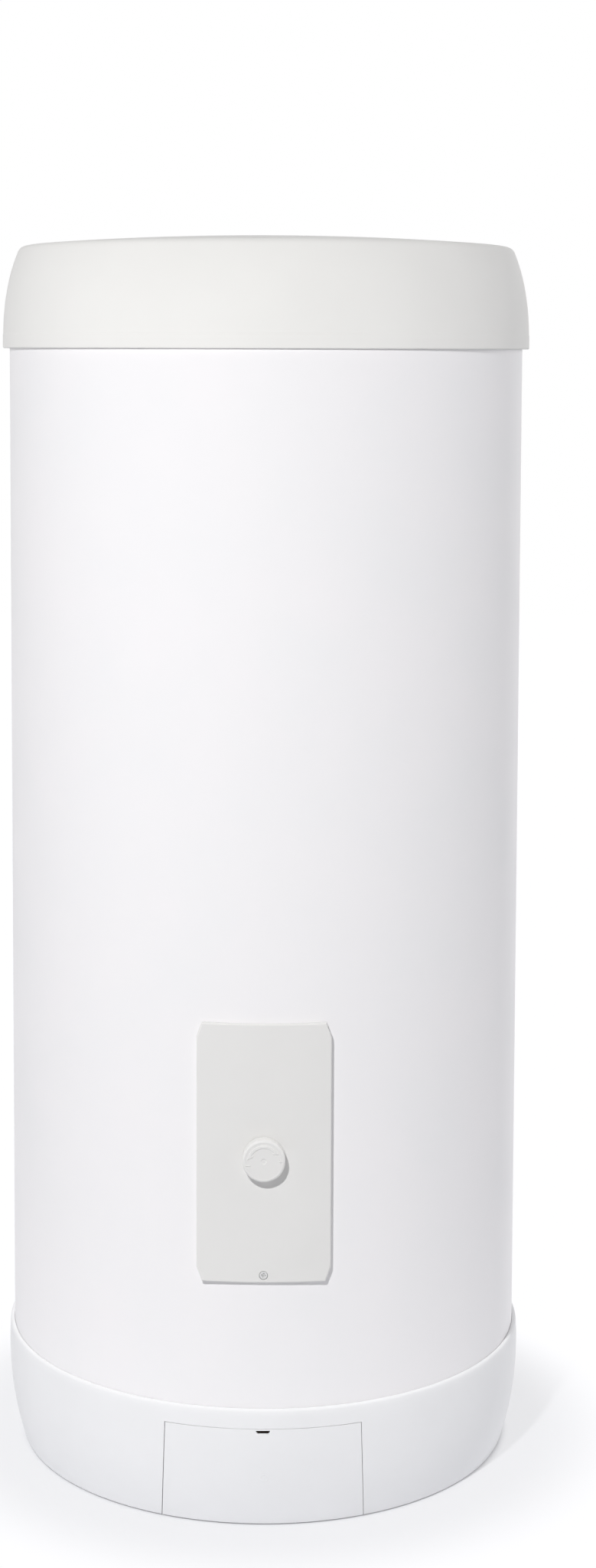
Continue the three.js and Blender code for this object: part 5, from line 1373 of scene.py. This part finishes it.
# Blade terminals on the thermostat's case: half their width and thickness, how far
# they stand out, and the two pairs' distance behind its face.
BLADE_HALF = np.array([3.15, 0.4])
BLADE_REACH = 6.2
BLADE_ROOT = 1.0
UPPER_BLADES = THERMOSTAT_FRONT + 13.0
LOWER_BLADES = THERMOSTAT_FRONT + 12.0
WIRE_SPREAD = 16.5
WIRE_RADIUS = 1.6
GASKET_BORE = 19.8


def make_element():
    """The heater's head is a chamfered hexagon with a dished face and a threaded plug;
    three hairpins leave its back, and two studs in bushes its front."""
    at = (0, 0, ELEMENT_Z)
    back = HEAD_BACK
    plug_end = back - ELEMENT_PLUG
    rows = [(0, plug_end), (17.4, plug_end)]
    rows += thread_rows(19.0, 0.9, 2.3, plug_end + 1.2, back - 1.5, 96)
    rows += [(17.8, back - 1.2), (17.8, back), *hex_rows(ELEMENT_HEX, back, HEAD_FRONT, 96)]
    rows += [(21.0, HEAD_FRONT), (20.2, HEAD_FRONT - 1.2), (0, HEAD_FRONT - 1.2)]
    head = stacked(rows, at, FRONT, 96)
    make("element_head", [head], BRASS, "brass", ["heating_element"], sharp=20)

    start, half = -plug_end - 1, HAIRPIN_HALF
    bend_y = element_high[1] - SHEATH_RADIUS - half
    bend = arc((bend_y, ELEMENT_Z), half, -90, 90, 17)
    legs = [[start, ELEMENT_Z - half]], [[start, ELEMENT_Z + half]]
    route = np.concatenate([legs[0], bend, legs[1]])
    hairpins = []
    for x in HAIRPINS_AT:
        path = np.insert(route, 0, x, axis=1)
        hairpins.append(swept(path, SHEATH_RADIUS, 0, 20, beside=(1, 0, 0)))
    make("element_hairpins", hairpins, STAINLESS, "stainless")

    bushes, studs = [], []
    for side in (-1, 1):
        spot = (side * TERMINAL_SPREAD, 0, ELEMENT_Z)
        foot = HEAD_FRONT - 1.6
        bush = [(0, foot), (5.4, foot), (5.4, foot + 1.6), (4.4, foot + 3.4), (0, foot + 3.4)]
        bushes.append(stacked(bush, spot, FRONT, 32))
        end = HEAD_FRONT + TERMINAL_LENGTH
        seat = HEAD_FRONT + TERMINAL_LENGTH / 2
        stud = [(0, foot + 2), (2.2, foot + 2)]
        stud += thread_rows(TERMINAL_RADIUS, 0.3, 0.8, foot + 2.4, end - 0.5, 32, 4)
        stud += [(1.9, end), (0, end)]
        studs.append(stacked(stud, spot, FRONT, 32))
        nut = ring_rows(2.3, hex_rows(7.0, seat + 0.6, seat + 3.0))
        studs.append(stacked(nut, spot, FRONT))
        washer = [(2.6, seat - 0.9), (4.3, seat - 0.9), (4.3, seat - 0.3), (2.6, seat - 0.3)]
        studs.append(stacked([*washer, washer[0]], spot, FRONT, 32))
    make("element_bushes", bushes, BLACK_NYLON, "black_plastic")
    make("element_studs", studs, ZINC_PLATED, "galvanised", sharp=20)

    rear, front, wide = to_front("element_gasket")
    rows = [(wide - 0.5, rear), (wide, rear + 0.5), (wide, front - 0.5), (wide - 0.5, front)]
    gasket = stacked(ring_rows(GASKET_BORE, rows), at, FRONT, 72)
    make("flange_gasket", [gasket], RUBBER, "gasket_rubber", ["element_gasket"])
    rear, front, wide = to_front("element_boss")
    rows = [(wide, rear), (wide, front - 1.5), (wide - 1.5, front)]
    boss = stacked(ring_rows(GASKET_BORE, rows), at, FRONT, 72)
    make("welded_boss", [boss], STAINLESS, "stainless", ["element_boss"])


make_element()


def make_thermostat():
    """A moulded case in two halves with a collar round the spindle and round the
    reset button, blade terminals above and below, and two rivets."""
    low, high = thermostat_low, thermostat_high
    front_low = (low[0] + 0.7, THERMOSTAT_FRONT, low[2] + 0.7)
    front_half = block(front_low, (high[0] - 0.7, CASE_SPLIT, high[2] - 0.7), 1.6, 4)
    rear_half = block((low[0], CASE_SPLIT - 0.6, low[2]), high, 1.2, 4)
    face, end = -THERMOSTAT_FRONT, -low[1]
    bush = [(3.4, face - 1), (9.5, face - 1), (9.5, face + 0.6), (8.9, face + 1.0)]
    bush += [(6, face + 1.0), (6, end - 0.5), (5.5, end), (3.9, end), (3.4, end - 0.5)]
    bush = stacked([*bush, bush[0]], (0, 0, KNOB_Z), FRONT)
    spot = centre_of("reset_button") * [1, 0, 1]
    collar = [(3.9, face - 1), (6.2, face - 1), (6.2, face + 0.5), (5.8, face + 0.9)]
    collar += [(4.3, face + 0.9), (3.9, face + 0.5), collar[0]]
    solids = [front_half, rear_half, bush, stacked(collar, spot, FRONT, 40)]
    make("thermostat_case", solids, BLACK_NYLON, "black_plastic", ["thermostat"])

    rivet = [(0, face - 1), (2.6, face - 1), (2.6, face + 0.2)]
    rivet += [(1.6, face + 0.8), (0, face + 1)]
    lower, upper = low[2] + 7, high[2] - 7
    metal = []
    for x, z in ((-RIVETS_AT, lower), (-RIVETS_AT, upper), (RIVETS_AT, lower)):
        metal.append(stacked(rivet, (x, 0, z), FRONT, 24))
    above = (high[2] - BLADE_ROOT, high[2] + BLADE_REACH)
    under = (low[2] - BLADE_REACH, low[2] + BLADE_ROOT)
    for apart, y, (start, stop) in (
        (WIRE_SPREAD, UPPER_BLADES, above),
        (TERMINAL_SPREAD, LOWER_BLADES, under),
    ):
        for x in (-apart, apart):
            middle = np.array([x, y])
            blade_low, blade_high = middle - BLADE_HALF, middle + BLADE_HALF
            metal.append(block((*blade_low, start), (*blade_high, stop), 0.3, 2))
    make("thermostat_terminals", metal, ZINC_PLATED, "galvanised")


make_thermostat()


# The cosine from which on a direction may meet the spindle's flat.
FACING_FLAT = 0.3


def make_spindle():
    """A rod with a flat: its radius is the least of the rod's own and the distance to
    the flat's plane, over the cosine of the angle from it."""
    rear, front, radius = to_front("thermostat_spindle")
    flat = low_high("thermostat_spindle")[1][2] - KNOB_Z
    sides = 64
    toward = -np.cos(np.arange(sides) * TAU / sides)
    near = np.maximum(toward, FACING_FLAT)
    reach = np.where(toward > FACING_FLAT, np.minimum(radius, flat / near), radius)
    rows = [(0, rear), (reach - 0.4, rear), (reach, rear + 0.4), (reach, front - 0.6)]
    rows += [(reach - 0.6, front), (0, front)]
    rod = stacked(rows, (0, 0, KNOB_Z), FRONT, sides)
    nodes = ["thermostat_spindle"]
    make("control_spindle", [rod], ZINC_PLATED, "galvanised", nodes, "spindle")


make_spindle()


def make_button():
    """A round button whose end is half an ellipse."""
    rear, front, radius = to_front("reset_button")
    rows = [(0, rear), (radius - 0.3, rear), (radius, rear + 0.3), (radius, front - 1.5)]
    turn = np.linspace(0.15, 1.57, 8)
    rows += zip(radius * np.cos(turn), front - 1.5 + 1.5 * np.sin(turn))
    rows.append((0, front))
    plunger = stacked(rows, centre_of("reset_button") * [1, 0, 1], FRONT, 40)
    nodes = ["reset_button"]
    make("reset_plunger", [plunger], RED_PLASTIC, "red_plastic", nodes, "reset")


make_button()


def make_terminal_block():
    """Four poles side by side on a common foot, each with a collar round its screw."""
    low, high = low_high("terminal_block")
    pitch = (high[0] - low[0]) / 4
    middle_z = (low[2] + high[2]) / 2
    foot = block((low[0], high[1] - 8, low[2] + 2), (high[0], high[1], high[2] - 2), 0.8)
    solids, screws = [foot], []
    half = pitch / 2 - 0.6
    face = -low[1]
    collar = [(2.9, face - 5), (5.6, face - 5), (5.2, face - 0.3), (4.9, face), (3.1, face)]
    collar += [(2.9, face - 0.3), (2.9, face - 5)]
    for x in low[0] + pitch * (np.arange(4) + 0.5):
        pole_low, pole_high = (x - half, low[1] + 2.6, low[2]), (x + half, high[1] - 1, high[2])
        spot = (x, 0, middle_z)
        solids += [block(pole_low, pole_high, 1.2), stacked(collar, spot, FRONT, 32)]
        screws.append(pan_head_screw(spot, FRONT, face - 12, face - 1, 2.6, 2.0, 1.5, 64))
    make("terminal_strip", solids, GREY_NYLON, "grey_plastic", ["terminal_block"])
    make("terminal_screws", screws, BRASS, "brass", sharp=50)


make_terminal_block()


def make_wires():
    """Sleeved wires carried along smooth routes, each ending in a crimped sleeve."""
    block_low, block_high = low_high("terminal_block")
    low, high = thermostat_low, thermostat_high
    block_y = (block_low[1] + block_high[1]) / 2
    stud_y = -(HEAD_FRONT + TERMINAL_LENGTH / 2)
    crimps = []
    for side, live, heater, finish, slot in (
        (-1, "wire_live", "wire_heater_left", BROWN_PVC, "brown_wire"),
        (1, "wire_neutral", "wire_heater_right", BLUE_PVC, "blue_plastic"),
    ):
        x, y = side * WIRE_SPREAD, block_y
        top, end = block_low[2] - 0.3, high[2] + 0.3
        middle = (top + end) / 2
        stops = [(x, y, top), (x, y, top - 5), (x + side * 5, y - 3, middle + 4)]
        stops += [(x + side * 3, y - 4, middle - 6), (x, y - 2, end + 5), (x, y - 2, end)]
        tube = swept(curve_through(stops, 40), WIRE_RADIUS, 0, 16, beside=(0, 1, 0))
        make(live + "_sleeved", [tube], finish, slot, [live])
        crimps.append(block((x - 3.4, y - 3.4, end + 0.6), (x + 3.4, y - 0.8, end + 7.4), 0.9))
        x = side * TERMINAL_SPREAD
        start = low[2] - 0.3
        y = LOWER_BLADES
        foot = ELEMENT_Z + TERMINAL_RADIUS + 0.3
        stops = [(x, y, start), (x, y, start - 3)]
        stops += [(x + side * 4, (y + stud_y) / 2 - 3, (start + foot) / 2)]
        stops += [(x, stud_y, foot + 6), (x, stud_y, foot)]
        tube = swept(curve_through(stops, 32), WIRE_RADIUS, 0, 16, beside=(0, 1, 0))
        make(heater + "_sleeved", [tube], finish, slot, [heater])
        crimp_low = (x - 3.4, y - 1.3, start - 7.4)
        crimps.append(block(crimp_low, (x + 3.4, y + 1.3, start - 0.6), 0.9))
        seat = -stud_y
        lug = [(2.6, seat - 0.2), (4.6, seat - 0.2), (4.6, seat + 0.5), (2.6, seat + 0.5)]
        crimps.append(stacked([*lug, lug[0]], (x, 0, ELEMENT_Z), FRONT, 32))
        barrel_low = (x - 2.1, stud_y - 1.9, foot + 1)
        crimps.append(block(barrel_low, (x + 2.1, stud_y + 1.9, foot + 7), 0.8))
    make("crimped_ends", crimps, ZINC_PLATED, "galvanised")


make_wires()


def make_sensor():
    """A closed steel pocket with a flange, and the bulb and capillary tube in it. The
    tube bows out of the pocket's mouth and down to the thermostat."""
    z = centre_of("sensor_pocket")[2]
    end, mouth, _ = to_front("sensor_pocket")
    rows = [(0, end), (4.6, end), (6, end + 1.4), (6, mouth - 3), (9, mouth - 3)]
    rows += [(9, mouth - 0.5), (8.5, mouth), (4.7, mouth), (4.2, mouth - 0.5)]
    rows += [(4.2, end + 3), (0, end + 3)]
    pocket = stacked(rows, (0, 0, z), FRONT, 40)
    make("immersion_pocket", [pocket], STAINLESS, "stainless", ["sensor_pocket"])
    start, _, radius = to_front("capillary_sensor")
    neck, top = mouth - 6, thermostat_high[2]
    bulb = [(0, start), (radius - 0.8, start), (radius, start + 0.8)]
    bulb += [(radius, neck - 1.6), (1.2, neck), (0, neck)]
    stops = [(0, 2 - neck, z), (0, -mouth - 4, z), (0, -mouth - 10, z - 4)]
    stops += [(0, -mouth - 8, top + 8), (0, -mouth - 7, top + 0.3)]
    tube = swept(curve_through(stops, 40), 1.0, 0, 14, beside=(1, 0, 0))
    solids = [stacked(bulb, (0, 0, z), FRONT, 28), tube]
    make("capillary_bulb", solids, COPPER, "copper", ["capillary_sensor"])


make_sensor()


def make_gland():
    """A cable gland under the pan: a fluted dome nut, a hexagon and a neck."""
    low, high = low_high("cable_gland")
    at = centre_of("cable_gland") * [1, 1, 0]
    hex_low, seat = low[2] + 4.0, low[2] + 12.0
    sides = 144
    angle = np.arange(sides) * TAU / sides
    flutes = 0.5 * (0.5 + 0.5 * np.cos(18 * angle))
    rows = [(6.4, low[2]), (7.4 - flutes, low[2] + 0.4), (8.5 - flutes, low[2] + 1.8)]
    rows += [(8.5 - flutes, hex_low - 0.2), (8.0, hex_low)]
    rows += [*hex_rows(19.0, hex_low, seat, sides), (6.0, seat), (6.0, high[2])]
    gland = stacked(ring_rows(4.5, rows), at, UP, sides)
    make("gland_fitting", [gland], BLACK_NYLON, "black_plastic", ["cable_gland"], sharp=25)


make_gland()

# ------------------------------------------------------------------ CAD nodes that stay

NODE_FINISHES = {
    "base_pan": GALVANISED,
    "tank_shell": STAINLESS,
    "tank_top_dome": STAINLESS,
    "tank_bottom_dome": STAINLESS,
    "body_insulation": FOAM,
    "top_insulation": FOAM,
    "element_liner": LINER_PLASTIC,
    "cable_conduit": GREY_NYLON,
}
for node, finish in NODE_FINISHES.items():
    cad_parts[node].data.materials.clear()
    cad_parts[node].data.materials.append(finish)

# ------------------------------------------------------------------ studio

# Here lengths are in metres.
FLOOR_REACH = 9.0
FLOOR_MIDDLE = 0.6
FLOOR_GRAIN = 1 / 60
FLOOR_ROUGH = (0.7, 0.9)
# How far from the middle the floor's glow sets in, where it grows to its full share,
# and where the floor darkens, with the values on each side.
UNDER_SKIRT = (0.264, 0.28)
SHARE_NEAR = 0.78
ROUND_BASE = (0.3, 0.42)
# Near the base the glow is dimmer than further off: a painted shade round the base.
GLOW_NEAR_PAINTED_SHADE = 0.905
GLOW_FAR = 1.02
PALE_ROUND = (0.4, 0.8)
FAR_FLOOR = 0.63
FLOOR_WHITE = "#e4e5e8"
LAMP_WHITE = "#fdfdff"
# The soft fills: the axis, the way along it, the power and the strength.
FILLS = (("X", -1, 5, 1.68), ("X", 1, 5, 2.38), ("Y", 1, 1, 0.9), ("Z", 1, 6, 0.8))
KEY_AT = (-0.38, -1.5, 1.44)
KEY_WATTS = 28.4
KEY_RADIUS = 0.05


def seen_share(tree):
    """One for a ray from the camera, or one that was mirrored or let through, and zero
    for a ray that only gathers light."""
    path = add(tree, "ShaderNodeLightPath")
    mirrored = add(
        tree,
        "ShaderNodeMath",
        {0: path.outputs["Is Glossy Ray"], 1: path.outputs["Is Transmission Ray"]},
        operation="MAXIMUM",
    )
    either = {0: path.outputs["Is Camera Ray"], 1: mirrored.outputs["Value"]}
    return add(tree, "ShaderNodeMath", either, operation="MAXIMUM").outputs["Value"]


def make_floor():
    """A flat disc as rings about the Z axis. Under the skirt it takes the full shadow. Round
    the base, what is looked at is mostly a pale glow, dimmed there as a painted shade, and
    further off it is white. The light it throws back is pale near the base and darker further
    off."""
    made, output, place = new_material("matt_white_floor")
    tree = made.node_tree
    away = add(tree, "ShaderNodeVectorMath", {0: place}, operation="LENGTH").outputs["Value"]
    looked_at = seen_share(tree)

    def ramp(reach, low, high):
        values = {"Value": away, "From Min": reach[0], "From Max": reach[1]}
        values.update({"To Min": low, "To Max": high})
        made = add(tree, "ShaderNodeMapRange", values, interpolation_type="SMOOTHSTEP")
        return made.outputs["Result"]

    share = add(
        tree,
        "ShaderNodeMath",
        {0: ramp(UNDER_SKIRT, 0.0, SHARE_NEAR), 1: ramp(ROUND_BASE, 0.0, 1 - SHARE_NEAR)},
        operation="ADD",
    )
    seen = add(
        tree,
        "ShaderNodeMath",
        {0: share.outputs["Value"], 1: looked_at},
        operation="MULTIPLY",
    )
    fine = {"Vector": place, "Scale": 1 / FLOOR_GRAIN, "Detail": 3.0}
    grain = add(tree, "ShaderNodeTexNoise", fine)
    matt = {"Value": grain.outputs["Fac"], "To Min": FLOOR_ROUGH[0], "To Max": FLOOR_ROUGH[1]}
    rough = add(tree, "ShaderNodeMapRange", matt)
    pale = add(
        tree,
        "ShaderNodeVectorMath",
        {0: linear(FLOOR_WHITE)[:3], "Scale": ramp(PALE_ROUND, 1.0, FAR_FLOOR)},
        operation="SCALE",
    )
    shader = add(
        tree,
        "ShaderNodeBsdfPrincipled",
        {"Base Color": pale.outputs["Vector"], "Roughness": rough.outputs["Result"]},
    )
    glow = add(
        tree,
        "ShaderNodeEmission",
        # The glow's strength rises from a painted shade near the base to white further off.
        {"Color": linear(LAMP_WHITE), "Strength": ramp(ROUND_BASE, GLOW_NEAR_PAINTED_SHADE, GLOW_FAR)},
    )
    both = add(
        tree,
        "ShaderNodeMixShader",
        {0: seen.outputs["Value"], 1: shader.outputs["BSDF"], 2: glow.outputs["Emission"]},
    )
    tree.links.new(both.outputs["Shader"], output.inputs["Surface"])
    points, quads = turned([[FLOOR_REACH, 0], [FLOOR_MIDDLE, 0], [0, 0]], sides=96)
    mesh = bpy.data.meshes.new("floor")
    mesh.from_pydata(points.tolist(), [], quads.tolist())
    mesh.validate()
    mesh.materials.append(made)
    floor = bpy.data.objects.new("floor", mesh)
    bpy.context.scene.collection.objects.link(floor)


def make_world():
    """White where it is looked at or mirrored. Elsewhere it is the sum of four soft
    fills: each is the direction's share along an axis, to a power, by a strength."""
    world = bpy.data.worlds.new("studio")
    world.use_nodes = True
    tree = world.node_tree
    tree.nodes.clear()
    looked_at = seen_share(tree)
    way = add(tree, "ShaderNodeTexCoord").outputs["Generated"]
    part = add(tree, "ShaderNodeSeparateXYZ", {"Vector": way})
    level = 0.0
    for axis, sign, power, strength in FILLS:
        value = part.outputs[axis]
        for operation, by in (("MULTIPLY", sign), ("MAXIMUM", 0.0), ("POWER", power)):
            step = add(tree, "ShaderNodeMath", {0: value, 1: by}, operation=operation)
            value = step.outputs["Value"]
        terms = {0: value, 1: strength, 2: level}
        level = add(tree, "ShaderNodeMath", terms, operation="MULTIPLY_ADD").outputs["Value"]
    fill = add(tree, "ShaderNodeBackground", {"Color": linear(LAMP_WHITE), "Strength": level})
    white = add(tree, "ShaderNodeBackground", {"Color": (1, 1, 1, 1), "Strength": 1.0})
    both = add(
        tree,
        "ShaderNodeMixShader",
        {0: looked_at, 1: fill.outputs["Background"], 2: white.outputs["Background"]},
    )
    add(tree, "ShaderNodeOutputWorld", {"Surface": both.outputs["Shader"]})
    bpy.context.scene.world = world


def make_key():
    """A small lamp in front and to the left, whose light doesn't fall off."""
    data = bpy.data.lights.new("key", "POINT")
    data.energy = KEY_WATTS
    data.shadow_soft_size = KEY_RADIUS
    data.use_nodes = True
    tree = data.node_tree
    tree.nodes.clear()
    even = add(tree, "ShaderNodeLightFalloff", {"Strength": 1.0}).outputs["Constant"]
    glow = add(tree, "ShaderNodeEmission", {"Strength": even}).outputs["Emission"]
    add(tree, "ShaderNodeOutputLight", {"Surface": glow})
    key = bpy.data.objects.new("key", data)
    bpy.context.scene.collection.objects.link(key)
    key.location = KEY_AT
    key.visible_glossy = False


make_floor()
make_world()
make_key()

bpy.context.scene.view_settings.view_transform = "Standard"
